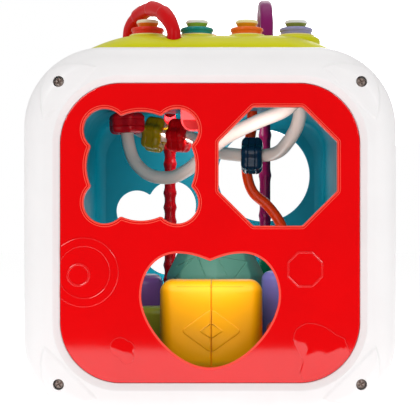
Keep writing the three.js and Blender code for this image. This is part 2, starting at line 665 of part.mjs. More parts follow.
// Each bead sits at a fraction of its tube's length and lines up with the tube there.
const BEADS = [
  { name: 'bead_crimson', colour: COLOURS.darkRed, tube: 'cream_tube_front', at: 0.07, turn: 0 },
  { name: 'bead_olive', colour: COLOURS.olive, tube: 'cream_tube_rear', at: 0.187, turn: 0.5 },
  { name: 'bead_red', colour: COLOURS.red, tube: 'cream_tube_rear', at: 0.274, turn: 0 },
  { name: 'bead_navy', colour: COLOURS.navy, tube: 'cream_tube_rear', at: 0.588, turn: 0.5 },
];

// The mint block: a chunky faceted gem, wide above the middle and narrow at the foot.
function gemBlock() {
  const rings = [
    { z: 36.2, rx: 26, ry: 20 },
    { z: 52, rx: 38, ry: 30 },
    { z: 112, rx: 45, ry: 33 },
    { z: 134, rx: 34, ry: 24 },
  ];
  const points = [];
  for (const { z, rx, ry } of rings) {
    for (let i = 0; i < 8; i++) {
      const turn = ((i + 0.5) * Math.PI) / 4;
      points.push(new THREE.Vector3(5 + rx * Math.cos(turn), 17 + ry * Math.sin(turn), z));
    }
  }
  return solidFrom(new ConvexGeometry(points));
}

const FLOOR = TUB_FLOOR + GAP;
const BLOCKS = [
  {
    name: 'yellow_block', colour: COLOURS.yellow,
    x: [-41.5, 43.5], y: [-112, -64], z: [FLOOR, 111], corner: 12, r: 7,
  },
  {
    name: 'orange_block', colour: COLOURS.orange,
    x: [47.5, 92], y: [-108, -66], z: [FLOOR, 75], corner: 12, r: 6,
  },
  {
    name: 'lime_block', colour: COLOURS.lime,
    x: [-66, -12], y: [-60, -21], z: [FLOOR, 86], corner: 24, r: 7,
  },
  {
    name: 'periwinkle_block', colour: COLOURS.periwinkle,
    x: [45, 97], y: [-58, -21], z: [FLOOR, 117], corner: 15, r: 8,
  },
  {
    name: 'purple_block', colour: COLOURS.purple,
    x: [-104, -43], y: [-16, 46], z: [FLOOR, 112.5], corner: 22, r: 9,
  },
  {
    name: 'green_block', colour: COLOURS.green,
    x: [46, 98], y: [56, 90], z: [FLOOR, 128], corner: 14, r: 7,
  },
];

// ---------------------------------------------------------------- the assembled toy
const toy = new THREE.Group();

function addPiece(name, solid, color, roughness = 0.35, metalness = 0) {
  const geometry = solid.isBufferGeometry ? solid : geometryFrom(solid);
  const mesh = new THREE.Mesh(geometry, new THREE.MeshStandardMaterial({ color, roughness, metalness }));
  mesh.name = name;
  toy.add(mesh);
  return mesh;
}

const { front, rear } = housings();
addPiece('front_housing', front, COLOURS.white);
addPiece('rear_housing', rear, COLOURS.white);
screwPlaces.forEach(([x, z], i) => addPiece(`case_screw_${i + 1}`, caseScrew(x, z), COLOURS.steel, 0.4, 0.9));
addPiece('front_panel', frontPanel(), COLOURS.red, 0.15);
addPiece('back_panel', backPanel(), COLOURS.teal);
addPiece('inner_tub', innerTub(), COLOURS.teal);
addPiece('panel_bracket', softBlock(BRACKET), COLOURS.red);
addPiece('base_panel', basePanel(), COLOURS.white);

const leftPanel = cut(sidePanel(-1), ...GEARS.map(gearHole));
const slot = roundedRect(SLOT.half, SLOT.wide, SLOT.wide);
addPiece('left_panel', leftPanel, COLOURS.blue);
addPiece('right_panel', sidePanel(1).subtract(alongX(slot, 130, HALF + 1, 0, SLOT.z)), COLOURS.orange);
for (const gear of GEARS) {
  addPiece(gear.name, gearBody(gear), gear.colour);
  addPiece(gear.name.replace('gear', 'gear_pin'), gearPin(gear), COLOURS.white);
}
addPiece('slider_knob', sliderKnob(), COLOURS.lime);

addPiece('top_deck', topDeck(), COLOURS.lime);
const RING_COLOURS = [COLOURS.red, COLOURS.teal, COLOURS.orange, COLOURS.lilac];
BUTTON.x.forEach((x, i) => {
  addPiece(`button_${i + 1}`, button(x), COLOURS.cream);
  addPiece(`button_ring_${i + 1}`, buttonRing(x), RING_COLOURS[i]);
  addPiece(`button_spring_${i + 1}`, buttonSpring(x), COLOURS.steel, 0.3, 1);
});
addPiece('circuit_board', circuitBoard(), COLOURS.board);
addPiece('speaker', speaker(), COLOURS.black);
addPiece('battery_box', batteryBox(), COLOURS.black);
addPiece('battery_1', battery(-1), COLOURS.steel, 0.3, 0.8);
addPiece('battery_2', battery(1), COLOURS.steel, 0.3, 0.8);
addPiece('battery_door', batteryDoor(), COLOURS.lime);
addPiece('battery_door_screw', doorScrew(), COLOURS.steel, 0.4, 0.9);

const TUBE_COLOURS = { cream: COLOURS.cream, red: COLOURS.red, purple: COLOURS.plum, orange: COLOURS.orange };
for (const [name, route] of Object.entries({ ...ARCHES, ...ROUTES })) {
  addPiece(name, tubeThrough(route, TUBE_R[name], STEPS[name]), TUBE_COLOURS[name.split('_')[0]]);
}

const beadShape = flowerBead();
for (const { name, colour, tube, at, turn } of BEADS) {
  const curve = curveThrough(ROUTES[tube]);
  const bead = addPiece(name, beadShape, colour);
  bead.position.copy(curve.getPointAt(at));
  bead.quaternion.setFromUnitVectors(new THREE.Vector3(0, 0, 1), curve.getTangentAt(at));
  bead.rotateZ(turn);
}

addPiece('mint_block', gemBlock(), COLOURS.mint);
for (const block of BLOCKS) addPiece(block.name, softBlock(block), block.colour);

export default toy;
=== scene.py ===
import json
import math

import bmesh
import bpy
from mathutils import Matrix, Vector
from mathutils.bvhtree import BVHTree


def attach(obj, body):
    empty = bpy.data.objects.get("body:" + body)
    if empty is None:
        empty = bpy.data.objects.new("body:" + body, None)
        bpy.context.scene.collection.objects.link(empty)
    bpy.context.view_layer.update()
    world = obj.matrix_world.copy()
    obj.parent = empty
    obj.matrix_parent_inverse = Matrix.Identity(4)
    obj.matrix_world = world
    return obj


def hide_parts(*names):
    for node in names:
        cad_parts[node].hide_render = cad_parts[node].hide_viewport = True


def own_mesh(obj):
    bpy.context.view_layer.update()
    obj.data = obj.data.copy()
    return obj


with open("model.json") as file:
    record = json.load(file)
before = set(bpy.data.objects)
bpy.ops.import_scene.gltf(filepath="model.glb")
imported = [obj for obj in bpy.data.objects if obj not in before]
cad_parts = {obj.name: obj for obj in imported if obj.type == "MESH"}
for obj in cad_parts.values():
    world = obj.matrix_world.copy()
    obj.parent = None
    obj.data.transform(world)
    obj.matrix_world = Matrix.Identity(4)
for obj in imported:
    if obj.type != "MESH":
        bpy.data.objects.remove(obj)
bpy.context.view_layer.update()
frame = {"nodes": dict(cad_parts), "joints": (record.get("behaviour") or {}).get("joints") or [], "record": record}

# Looks of a baby activity cube. Lengths below are millimetres until a mesh is made, which is in metres.
MM = 0.001
HALF = 150
MID = 150
FACE = -145
TURN = 2 * math.pi


# ---------------------------------------------------------------- colour and material
def linear(rgb):
    """An 8-bit sRGB colour as linear RGBA."""
    parts = [c / 255 for c in rgb]
    return [c / 12.92 if c <= 0.04045 else ((c + 0.055) / 1.055) ** 2.4 for c in parts] + [1]


def plastic(name, rgb, rough=0.3, vary=0.06, grain=0.03, coat=0.0, glow=0.0, wave=0.0, shine=0.24):
    """Moulded plastic: slow colour drift, uneven gloss, a fine moulded grain and faint flow waves."""
    mat = bpy.data.materials.new(name)
    mat.use_nodes = True
    tree = mat.node_tree
    new, link = tree.nodes.new, tree.links.new
    shader = tree.nodes["Principled BSDF"]
    place = new("ShaderNodeTexCoord").outputs["Object"]

    drift = new("ShaderNodeTexNoise")
    drift.inputs["Scale"].default_value = 22
    drift.inputs["Detail"].default_value = 3
    link(place, drift.inputs["Vector"])
    colour = new("ShaderNodeValToRGB")
    colour.color_ramp.elements[0].position = 0.3
    colour.color_ramp.elements[1].position = 0.7
    base = linear(rgb)
    colour.color_ramp.elements[0].color = [c * (1 - vary) for c in base[:3]] + [1]
    colour.color_ramp.elements[1].color = [min(1, c * (1 + vary * 0.6)) for c in base[:3]] + [1]
    link(drift.outputs["Fac"], colour.inputs["Fac"])
    link(colour.outputs["Color"], shader.inputs["Base Color"])

    smear = new("ShaderNodeTexNoise")
    smear.inputs["Scale"].default_value = 60
    smear.inputs["Detail"].default_value = 5
    link(place, smear.inputs["Vector"])
    gloss = new("ShaderNodeMapRange")
    gloss.inputs["To Min"].default_value = rough * 0.8
    gloss.inputs["To Max"].default_value = rough * 1.25
    link(smear.outputs["Fac"], gloss.inputs["Value"])
    link(gloss.outputs["Result"], shader.inputs["Roughness"])

    fine = new("ShaderNodeTexNoise")
    fine.inputs["Scale"].default_value = 900
    fine.inputs["Detail"].default_value = 2
    link(place, fine.inputs["Vector"])
    bump = new("ShaderNodeBump")
    bump.inputs["Strength"].default_value = grain
    bump.inputs["Distance"].default_value = 0.0004
    link(fine.outputs["Fac"], bump.inputs["Height"])
    normal = bump.outputs["Normal"]
    if wave:
        slow = new("ShaderNodeTexNoise")
        slow.inputs["Scale"].default_value = 11
        slow.inputs["Detail"].default_value = 0
        link(place, slow.inputs["Vector"])
        swell = new("ShaderNodeBump")
        swell.inputs["Strength"].default_value = 1
        swell.inputs["Distance"].default_value = wave
        link(slow.outputs["Fac"], swell.inputs["Height"])
        link(normal, swell.inputs["Normal"])
        normal = swell.outputs["Normal"]
    link(normal, shader.inputs["Normal"])
    shader.inputs["Specular IOR Level"].default_value = shine
    shader.inputs["Coat Weight"].default_value = coat
    shader.inputs["Coat Roughness"].default_value = 0.06
    if glow:
        shader.inputs["Subsurface Weight"].default_value = glow
        shader.inputs["Subsurface Radius"].default_value = (0.004, 0.003, 0.003)
    return mat


def metal(name, rgb, rough=0.35):
    """Plated steel with darker tarnish and uneven gloss in fine patches."""
    mat = bpy.data.materials.new(name)
    mat.use_nodes = True
    tree = mat.node_tree
    new, link = tree.nodes.new, tree.links.new
    shader = tree.nodes["Principled BSDF"]
    shader.inputs["Metallic"].default_value = 0.3
    place = new("ShaderNodeTexCoord").outputs["Object"]
    patch = new("ShaderNodeTexNoise")
    patch.inputs["Scale"].default_value = 400
    link(place, patch.inputs["Vector"])
    colour = new("ShaderNodeValToRGB")
    base = linear(rgb)
    colour.color_ramp.elements[0].color = [c * 0.6 for c in base[:3]] + [1]
    colour.color_ramp.elements[1].color = base
    link(patch.outputs["Fac"], colour.inputs["Fac"])
    link(colour.outputs["Color"], shader.inputs["Base Color"])
    gloss = new("ShaderNodeMapRange")
    gloss.inputs["To Min"].default_value = rough * 0.7
    gloss.inputs["To Max"].default_value = rough * 1.4
    link(patch.outputs["Fac"], gloss.inputs["Value"])
    link(gloss.outputs["Result"], shader.inputs["Roughness"])
    return mat


MATERIALS = {
    "white_shell": plastic("white_shell", (246, 244, 244), 0.3, vary=0.02, grain=0.06, shine=0.4),
    "red_gloss": plastic("red_gloss", (208, 0, 8), 0.34, vary=0.05, grain=0.015, shine=0.14),
    "teal_gloss": plastic("teal_gloss", (0, 136, 156), 0.42, shine=0.2),
    "lime_gloss": plastic("lime_gloss", (210, 208, 12), 0.34, shine=0.15),
    "cream_satin": plastic("cream_satin", (224, 204, 194), 0.34, glow=0.1),
    "crimson_gloss": plastic("crimson_gloss", (196, 6, 20), 0.25),
    "olive_gloss": plastic("olive_gloss", (158, 128, 4), 0.22),
    "navy_gloss": plastic("navy_gloss", (14, 40, 62), 0.16),
    "yellow_gloss": plastic("yellow_gloss", (250, 172, 0), 0.34, shine=0.3),
    "mint_gloss": plastic("mint_gloss", (96, 152, 132), 0.34),
    "purple_gloss": plastic("purple_gloss", (104, 66, 124), 0.3),
    "plum_gloss": plastic("plum_gloss", (124, 14, 70), 0.18),
    "periwinkle_gloss": plastic("periwinkle_gloss", (128, 122, 196), 0.25),
    "lilac_gloss": plastic("lilac_gloss", (150, 142, 178), 0.3),
    "orange_gloss": plastic("orange_gloss", (255, 64, 6), 0.28),
    "green_gloss": plastic("green_gloss", (0, 104, 70), 0.25),
    "blue_gloss": plastic("blue_gloss", (40, 140, 205), 0.22),
    "steel": metal("steel", (226, 208, 198), 0.5),
    "circuit_laminate": plastic("circuit_laminate", (24, 104, 52), 0.4, vary=0.15),
    "black_plastic": plastic("black_plastic", (34, 34, 36), 0.45, vary=0.2, grain=0.2),
}
PANEL_RED = plastic("panel_red", (238, 0, 5), 0.05, shine=0.5, vary=0.04, grain=0.006, coat=0.75,
                    wave=0.00045)
# Salmon red for the hole rims: a painted highlight standing in for the sheen on their rounded lips.
RIM_PAINTED_HIGHLIGHT = plastic("rim_painted_highlight", (255, 78, 62), 0.3, vary=0.05)
MATERIALS["light_red"] = plastic("light_red", (236, 60, 62), 0.2)
MATERIALS["lime_block"] = plastic("lime_block", (170, 168, 50), 0.3)
# Darker orange for a filler inside the yellow block: painted shade in its seam and along its lower front edge.
MATERIALS["yellow_seam_shade"] = plastic("yellow_seam_shade", (228, 130, 0), 0.3)
# Pale yellow for thin rings on the button mounds' rims: a painted highlight for their gloss.
MATERIALS["mound_rim_painted_highlight"] = plastic("mound_rim_painted_highlight", (236, 222, 150), 0.35)
MATERIALS["violet_arch"] = plastic("violet_arch", (132, 18, 100), 0.3, shine=0.16)
CAPS = [
    plastic("cap_1", (240, 226, 196), 0.3, glow=0.1), plastic("cap_2", (246, 246, 240), 0.3, glow=0.1),
    plastic("cap_3", (244, 236, 178), 0.3, glow=0.1), plastic("cap_4", (240, 240, 236), 0.3, glow=0.1),
]
NECKS = [
    plastic("neck_1", (232, 122, 20), 0.3), plastic("neck_2", (150, 190, 60), 0.3),
    plastic("neck_3", (224, 158, 20), 0.3), plastic("neck_4", (140, 150, 60), 0.3),
]
RINGS = [
    plastic("ring_1", (226, 52, 30), 0.24), plastic("ring_2", (30, 142, 140), 0.24),
    plastic("ring_3", (240, 110, 30), 0.24), plastic("ring_4", (150, 146, 190), 0.24),
]


# ---------------------------------------------------------------- meshes
def make(name, parts, weld=0.002):
    """One mesh object from (vertices, faces) parts in mm, welded, with its normals outward."""
    verts, faces = [], []
    for part_verts, part_faces in parts:
        start = len(verts)
        verts += [tuple(c * MM for c in v) for v in part_verts]
        faces += [tuple(start + i for i in face) for face in part_faces]
    mesh = bpy.data.meshes.new(name)
    mesh.from_pydata(verts, [], faces)
    bm = bmesh.new()
    bm.from_mesh(mesh)
    bmesh.ops.remove_doubles(bm, verts=bm.verts, dist=weld * MM)
    bmesh.ops.recalc_face_normals(bm, faces=bm.faces)
    bm.to_mesh(mesh)
    bm.free()
    obj = bpy.data.objects.new(name, mesh)
    bpy.context.scene.collection.objects.link(obj)
    return obj


def bake(obj):
    """Applies the object's modifiers to its mesh."""
    graph = bpy.context.evaluated_depsgraph_get()
    mesh = bpy.data.meshes.new_from_object(obj.evaluated_get(graph))
    obj.modifiers.clear()
    obj.data = mesh


def carve(obj, *cutters):
    """Cuts closed shapes out of a piece."""
    for cutter in cutters:
        mod = obj.modifiers.new("carve", 'BOOLEAN')
        mod.operation = 'DIFFERENCE'
        mod.solver = 'EXACT'
        mod.object = cutter
    bake(obj)
    for cutter in cutters:
        bpy.data.objects.remove(cutter)
    return obj


def settle(obj, material, body, nodes=(), sharp=32):
    """Shades a finished piece and fixes it to its body."""
    obj.data.materials.clear()
    obj.data.materials.append(material)
    obj.data.shade_smooth()
    obj.data.set_sharp_from_angle(angle=math.radians(sharp))
    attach(obj, body)
    if nodes:
        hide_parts(*nodes)
    return obj


def loft(rings, closed=False, caps=False):
    """Quads between loops of equal length, with the two ends capped if asked."""
    count, total = len(rings[0]), len(rings)
    verts = [point for ring in rings for point in ring]
    faces = []
    for i in range(total if closed else total - 1):
        a, b = i * count, ((i + 1) % total) * count
        for k in range(count):
            n = (k + 1) % count
            faces.append((a + k, a + n, b + n, b + k))
    if caps:
        faces.append(tuple(range(count)))
        faces.append(tuple(range((total - 1) * count, total * count)))
    return verts, faces


def rounded(u0, u1, v0, v1, r, arc=12, sides=1):
    """A rounded rectangle, anticlockwise; r is one radius or four, from the upper right corner round."""
    radii = r if isinstance(r, (list, tuple)) else [r] * 4
    points = []
    for q in range(4):
        rq = radii[q]
        cu = u1 - rq if q in (0, 3) else u0 + rq
        cv = v1 - rq if q in (0, 1) else v0 + rq
        for i in range(arc + 1):
            a = (q + i / arc) * math.pi / 2
            points.append((cu + rq * math.cos(a), cv + rq * math.sin(a)))
    if sides > 1:
        dense = []
        for i, p in enumerate(points):
            dense.append(p)
            if i % (arc + 1) == arc:
                q = points[(i + 1) % len(points)]
                dense += [(p[0] + (q[0] - p[0]) * t / sides, p[1] + (q[1] - p[1]) * t / sides)
                          for t in range(1, sides)]
        return dense
    return points


def square(half, r, arc=12, sides=1):
    return rounded(-half, half, -half, half, r, arc, sides)


def ring_of(r, count=48):
    return [(r * math.cos(TURN * i / count), r * math.sin(TURN * i / count)) for i in range(count)]


def grown(points, d):
    """An anticlockwise outline moved outwards by d."""
    out = []
    count = len(points)
    for i in range(count):
        (ax, ay), (bx, by), (cx, cy) = points[i - 1], points[i], points[(i + 1) % count]
        n1 = Vector((by - ay, ax - bx))
        n2 = Vector((cy - by, bx - cx))
        if n1.length < 1e-6:
            n1 = n2.copy()
        if n2.length < 1e-6:
            n2 = n1.copy()
        n1.normalize()
        n2.normalize()
        mean = (n1 + n2) / 2
        scale = d / max(0.35, mean.length_squared)
        out.append((bx + mean.x * scale, by + mean.y * scale))
    return out


def moved(points, at):
    return [(u + at[0], v + at[1]) for u, v in points]


def on_y(points, y, x=0, z=0):
    return [(u + x, y, v + z) for u, v in points]


def on_z(points, z, x=0, y=0):
    return [(u + x, v + y, z) for u, v in points]


def on_x(points, x, y=0, z=0):
    return [(x, u + y, v + z) for u, v in points]


def plate(outlines, low, high, edge, place):
    """A flat plate with holes and softened edges; place turns (u, v, w) into X, Y, Z."""
    curve = bpy.data.curves.new("outline", 'CURVE')
    curve.dimensions = '2D'
    curve.fill_mode = 'BOTH'
    curve.extrude = (high - low) / 2 - edge
    curve.bevel_depth = edge
    curve.bevel_resolution = 2
    curve.offset = -edge
    for points in outlines:
        spline = curve.splines.new('POLY')
        spline.points.add(len(points) - 1)
        for i, (u, v) in enumerate(points):
            spline.points[i].co = (u, v, 0, 1)
        spline.use_cyclic_u = True
    obj = bpy.data.objects.new("outline", curve)
    bpy.context.scene.collection.objects.link(obj)
    mesh = bpy.data.meshes.new_from_object(obj.evaluated_get(bpy.context.evaluated_depsgraph_get()))
    middle = (low + high) / 2
    verts = [place(v.co.x, v.co.y, v.co.z + middle) for v in mesh.vertices]
    faces = [tuple(p.vertices) for p in mesh.polygons]
    bpy.data.objects.remove(obj)
    return verts, faces


def facing_y(u, v, w):
    return (u, w, v)


def spun(profile, x=0, y=0, sides=48):
    """A closed (radius, height) profile turned about an upright axis."""
    rings = []
    for i in range(sides):
        a = TURN * i / sides
        rings.append([(x + r * math.cos(a), y + r * math.sin(a), z) for r, z in profile])
    count = len(profile)
    verts = [p for ring in rings for p in ring]
    faces = []
    for i in range(sides):
        a, b = i * count, ((i + 1) % sides) * count
        faces += [(a + k, b + k, b + k + 1, a + k + 1) for k in range(count - 1)]
        if profile[0][0] > 0 and profile[-1][0] > 0:
            faces.append((a + count - 1, b + count - 1, b, a))
    return verts, faces


def curve_through(knots, steps):
    """Centripetal Catmull-Rom through the knots, in equal steps of length."""
    knots = [Vector(k) for k in knots]
    ends = [knots[0] * 2 - knots[1], knots[-1] * 2 - knots[-2]]
    p = [ends[0]] + knots + [ends[1]]
    fine = []
    for i in range(1, len(p) - 2):
        t = [0.0]
        for k in range(3):
            t.append(t[-1] + max(1e-4, (p[i + k] - p[i + k - 1]).length) ** 0.5)
        for s in range(24):
            u = t[1] + (t[2] - t[1]) * s / 24
            a = [(p[i - 1 + k] * (t[k + 1] - u) + p[i + k] * (u - t[k])) / (t[k + 1] - t[k])
                 for k in range(3)]
            b = [(a[k] * (t[k + 2] - u) + a[k + 1] * (u - t[k])) / (t[k + 2] - t[k]) for k in range(2)]
            fine.append((b[0] * (t[2] - u) + b[1] * (u - t[1])) / (t[2] - t[1]))
    fine.append(knots[-1])
    lengths = [0.0]
    for a, b in zip(fine, fine[1:]):
        lengths.append(lengths[-1] + (b - a).length)
    out, k = [], 0
    for i in range(steps + 1):
        want = lengths[-1] * i / steps
        while k < len(lengths) - 2 and lengths[k + 1] < want:
            k += 1
        span = lengths[k + 1] - lengths[k]
        out.append(fine[k].lerp(fine[k + 1], min(1, (want - lengths[k]) / span)))
    return out, lengths[-1]


def sweep(points, radius, sides=28):
    """A round bar along the points; radius takes the length so far and the turn round the bar."""
    tangents = []
    for i in range(len(points)):
        a, b = points[max(0, i - 1)], points[min(len(points) - 1, i + 1)]
        tangents.append((b - a).normalized())
    side = tangents[0].orthogonal().normalized()
    rings, run = [], 0.0
    for i, (point, tangent) in enumerate(zip(points, tangents)):
        if i:
            run += (point - points[i - 1]).length
        side = (side - tangent * side.dot(tangent)).normalized()
        other = tangent.cross(side)
        ring = []
        for k in range(sides):
            a = TURN * k / sides
            r = radius(run, a)
            ring.append(tuple(point + side * (r * math.cos(a)) + other * (r * math.sin(a))))
        rings.append(ring)
    return loft(rings, caps=True)


def smoothstep(low, high, value):
    t = min(1, max(0, (value - low) / (high - low)))
    return t * t * (3 - 2 * t)


# ---------------------------------------------------------------- camera, light and floor
scene = bpy.context.scene
scene.view_settings.view_transform = 'Standard'
camera = bpy.data.objects.new("camera", bpy.data.cameras.new("camera"))
scene.collection.objects.link(camera)
camera.location = (0, -1.25, 0.150)
camera.rotation_euler = (math.pi / 2, 0, 0)
camera.data.sensor_width = 36
camera.data.lens = 118.75
camera.data.shift_y = 0.0548
scene.camera = camera


def softbox(name, at, aim, size, power, inside=False):
    light = bpy.data.lights.new(name, 'AREA')
    light.shape = 'DISK'
    light.size = size
    light.energy = power
    obj = bpy.data.objects.new(name, light)
    obj.location = at
    obj.rotation_euler = (Vector(aim) - Vector(at)).to_track_quat('-Z', 'Y').to_euler()
    obj.visible_camera = not inside
    scene.collection.objects.link(obj)


softbox("key_left", (-0.8, -1.5, 0.95), (0, 0, 0.15), 0.7, 6.2)
softbox("key_right", (0.85, -1.45, 0.75), (0, 0, 0.15), 0.7, 4.6)
softbox("above", (0.1, 0.2, 1.7), (0, 0, 0.2), 1.2, 3)
softbox("behind", (0.3, 1.6, 0.8), (0, 0, 0.15), 1.0, 4)
softbox("bin_front", (0, -0.1365, 0.185), (0, 0.05, 0.190), 0.17, 0.16, inside=True)
softbox("bin_above", (-0.01, 0.085, 0.263), (-0.01, 0.135, 0.19), 0.1, 0.2, inside=True)
softbox("bin_below", (-0.01, 0.105, 0.075), (-0.01, 0.141, 0.2), 0.06, 0.12, inside=True)

world = bpy.data.worlds.new("studio")
scene.world = world
world.use_nodes = True
tree = world.node_tree
background = tree.nodes["Background"]
background.inputs["Color"].default_value = (1, 1, 1, 1)
direction = tree.nodes.new("ShaderNodeTexCoord")
towards = tree.nodes.new("ShaderNodeVectorMath")
towards.operation = 'DOT_PRODUCT'
towards.inputs[1].default_value = (0, -1, 0)
tree.links.new(direction.outputs["Generated"], towards.inputs[0])
fall = tree.nodes.new("ShaderNodeMapRange")
fall.interpolation_type = 'SMOOTHSTEP'
fall.inputs["From Min"].default_value = 0.80
fall.inputs["From Max"].default_value = 0.95
fall.inputs["To Min"].default_value = 0.6
fall.inputs["To Max"].default_value = 0.05
tree.links.new(towards.outputs["Value"], fall.inputs["Value"])
seen = tree.nodes.new("ShaderNodeLightPath")
pick = tree.nodes.new("ShaderNodeMix")
pick.inputs["B"].default_value = 1.0
tree.links.new(seen.outputs["Is Camera Ray"], pick.inputs["Factor"])
tree.links.new(fall.outputs["Result"], pick.inputs["A"])
tree.links.new(pick.outputs["Result"], background.inputs["Strength"])

FLOOR_NEAR, FLOOR_FAR, FLOOR_SIDE, FLOOR_LEVEL = -815, 9000, 6000, -0.2
corners = [(-1, FLOOR_NEAR), (1, FLOOR_NEAR), (1, FLOOR_FAR), (-1, FLOOR_FAR)]
floor = make("floor", [([(side * FLOOR_SIDE, y, FLOOR_LEVEL) for side, y in corners], [(0, 1, 2, 3)])])
paper = plastic("floor", (250, 250, 250), 0.6, vary=0.01)
shader = paper.node_tree.nodes["Principled BSDF"]
shader.inputs["Emission Color"].default_value = (1, 1, 1, 1)
shader.inputs["Emission Strength"].default_value = 0.43
floor.data.materials.append(paper)

# ---------------------------------------------------------------- case
WELLS = [(sx * 120.5, MID + sz * 120.5) for sx in (1, -1) for sz in (1, -1)]
PAD_CENTRES = ((107.3, 84.6), (84.6, 107.3))
PAD_R, PAD_SLANT, PAD_RISE = 50, 222.3, 1.3


def pad_height(x, z):
    """Height of the raised corner pads, whose edge is two arcs and a slanted line."""
    px, pz = abs(x), abs(z - MID)
    arcs = [math.hypot(px - cx, pz - cz) - PAD_R for cx, cz in PAD_CENTRES]
    slant = (PAD_SLANT - px - pz) / math.sqrt(2)
    return PAD_RISE * smoothstep(0.6, -0.6, max(*arcs, slant))


def shell_rings(sign):
    """Cross-sections of one half of the case, from the seam round the lip and back along the inside."""
    arc, sides = 96, 14
    rings = [(HALF - 0.5, 64.5, -0.15), (HALF - 0.05, 65, -0.5)]
    rings += [(HALF, 65, y) for y in (-2, -30, -60, -90, -110, -124)]
    rings += [(130 + 20 * math.cos(a), 45 + 20 * math.cos(a), -130 - 19.3 * math.sin(a))
              for a in [math.pi / 2 * i / 44 for i in range(45)]]
    rings += [(130 - 4.7 * t, 45 + 9 * t, -149.3) for t in [i / 10 for i in range(1, 10)]]
    rings += [(125.3, 54, -149.25), (124.9, 53.6, -148.9), (120.2, 49.2, -145.3), (119.9, 48.9, -144.9)]
    rings += [(119.9, 48.9, -142), (131, 60, -142), (145, 62, -142), (147, 62, -128), (147, 62, -0.15)]
    loops = []
    for half, r, y in rings:
        section = on_y(square(half, r, arc, sides), y, 0, MID)
        loops.append([(x, -sign * y, z) for x, _, z in section] if sign > 0 else section)
    return loops


def lifted(loops, sign):
    """The corner pads, raised along the surface normal of the fillet and face."""
    out = []
    for i, ring in enumerate(loops):
        if not 7 < i < 63:
            out.append(ring)
            continue
        a = math.pi / 2 * min(1, max(0, (i - 8) / 44))
        moved = []
        for x, y, z in ring:
            lift = pad_height(x, z) * smoothstep(0, 0.25, a)
            cx, cz = max(-85, min(85, x)), max(-85, min(85, z - MID))
            away = Vector((x - cx, z - MID - cz))
            away = away.normalized() if away.length else away
            raised = max(-HALF, min(HALF, y + sign * lift * math.sin(a)))
            moved.append((x + away.x * lift * math.cos(a), raised, z + away.y * lift * math.cos(a)))
        out.append(moved)
    return out


def block_cutter(name, outline, low, high, axis):
    place = {'x': on_x, 'y': on_y, 'z': on_z}[axis]
    return make(name, [loft([place(outline, low), place(outline, high)], caps=True)])


for half_name, sign in (("front_housing", -1), ("rear_housing", 1)):
    shell = make(half_name + "_shell", [loft(lifted(shell_rings(sign), sign), closed=True)])
    cutters = [
        block_cutter("c1", moved(rounded(-95.4, 95.4, -72.4, 72.4, 34.8, 14), (0, MID)), -160, 160, 'x'),
        block_cutter("c2", square(113.8, 42.8, 16), 280, 310, 'z'),
        block_cutter("c3", rounded(-78.4, 78.4, -95.4, 95.4, 30.8, 14), -10, 10, 'z'),
    ]
    if sign < 0:
        cutters += [block_cutter("well", moved(ring_of(4.5, 32), at), -155, -138, 'y') for at in WELLS]
    carve(shell, *cutters)
    settle(shell, MATERIALS["white_shell"], "case", [half_name], sharp=38)

wells = []
for x, z in WELLS:
    wall = ((4.5, -146.5), (4.5, -139.6), (5.6, -139.6), (5.6, -145.6))
    wells.append(loft([on_y(ring_of(r, 32), y, x, z) for r, y in wall], closed=True))
settle(make("screw_wells", wells), MATERIALS["white_shell"], "case")

for i, (x, z) in enumerate(WELLS, 1):
    profile = [(0.0, -144.6), (1.5, -144.5), (2.6, -144.1), (3.5, -143.4), (3.9, -142.4), (4.0, -141.2),
               (4.0, -140.4), (2.0, -140.3), (2.0, -120), (0.0, -118)]
    verts, faces = spun(profile, 0, 0, 40)
    head = make(f"case_screw_{i}_head", [([(x + u, w, z + v) for u, v, w in verts], faces)])
    cross = []
    for turn in (0.5, 0.5 + math.pi / 2):
        c, s = math.cos(turn), math.sin(turn)
        outline = [(2.7, 0.75), (-2.7, 0.75), (-2.7, -0.75), (2.7, -0.75)]
        turned = [(u * c - v * s, u * s + v * c) for u, v in outline]
        cross.append(block_cutter("cross", moved(turned, (x, z)), -146, -141.6, 'y'))
    carve(head, *cross)
    settle(head, MATERIALS["steel"], "case")

# ---------------------------------------------------------------- front and back panels
BEAR, OCTAGON, HEART = (-55.2, 203.4), (54.2, 203.2), (0, 100)


def ray_through(turn, x, y, r):
    along = x * math.cos(turn) + y * math.sin(turn)
    across = x * math.sin(turn) - y * math.cos(turn)
    return 0 if abs(across) > r else along + math.sqrt(r * r - across * across)


def bear(count=192):
    points = []
    for i in range(count):
        turn = TURN * i / count
        reach = [ray_through(turn, 29 * sx, 29 * sy, 16.8) for sx in (1, -1) for sy in (1, -1)]
        reach += [ray_through(turn, 5.5 * ax, 5.5 * ay, 38) for ax, ay in ((1, 0), (0, 1), (-1, 0), (0, -1))]
        points.append((max(reach) * math.cos(turn), max(reach) * math.sin(turn)))
    return points


def octagon(half, soft=2.5):
    points = []
    reach = (half - soft) / math.cos(math.pi / 8)
    for i in range(8):
        mid = (i + 0.5) * math.pi / 4
        for k in range(5):
            a = mid + (k / 4 - 0.5) * math.pi / 4
            points.append((reach * math.cos(mid) + soft * math.cos(a),
                           reach * math.sin(mid) + soft * math.sin(a)))
    return points


def bezier(a, b, c, d, count):
    out = []
    for i in range(count):
        t = i / count
        w = ((1 - t) ** 3, 3 * t * (1 - t) ** 2, 3 * t * t * (1 - t), t ** 3)
        out.append(tuple(sum(w[k] * p[j] for k, p in enumerate((a, b, c, d))) for j in (0, 1)))
    return out


def heart():
    right = bezier((0, 27.7), (7, 30.5), (15, 33.8), (26, 33.8), 14)
    right += bezier((26, 33.8), (42, 33.8), (54.9, 20), (54.9, 0), 20)
    right += bezier((54.9, 0), (54.9, -24), (27, -57.3), (0, -57.3), 28)
    left = [(-x, y) for x, y in right[1:]]
    clockwise = right + [(0, -57.3)] + left[::-1]
    return clockwise[::-1]


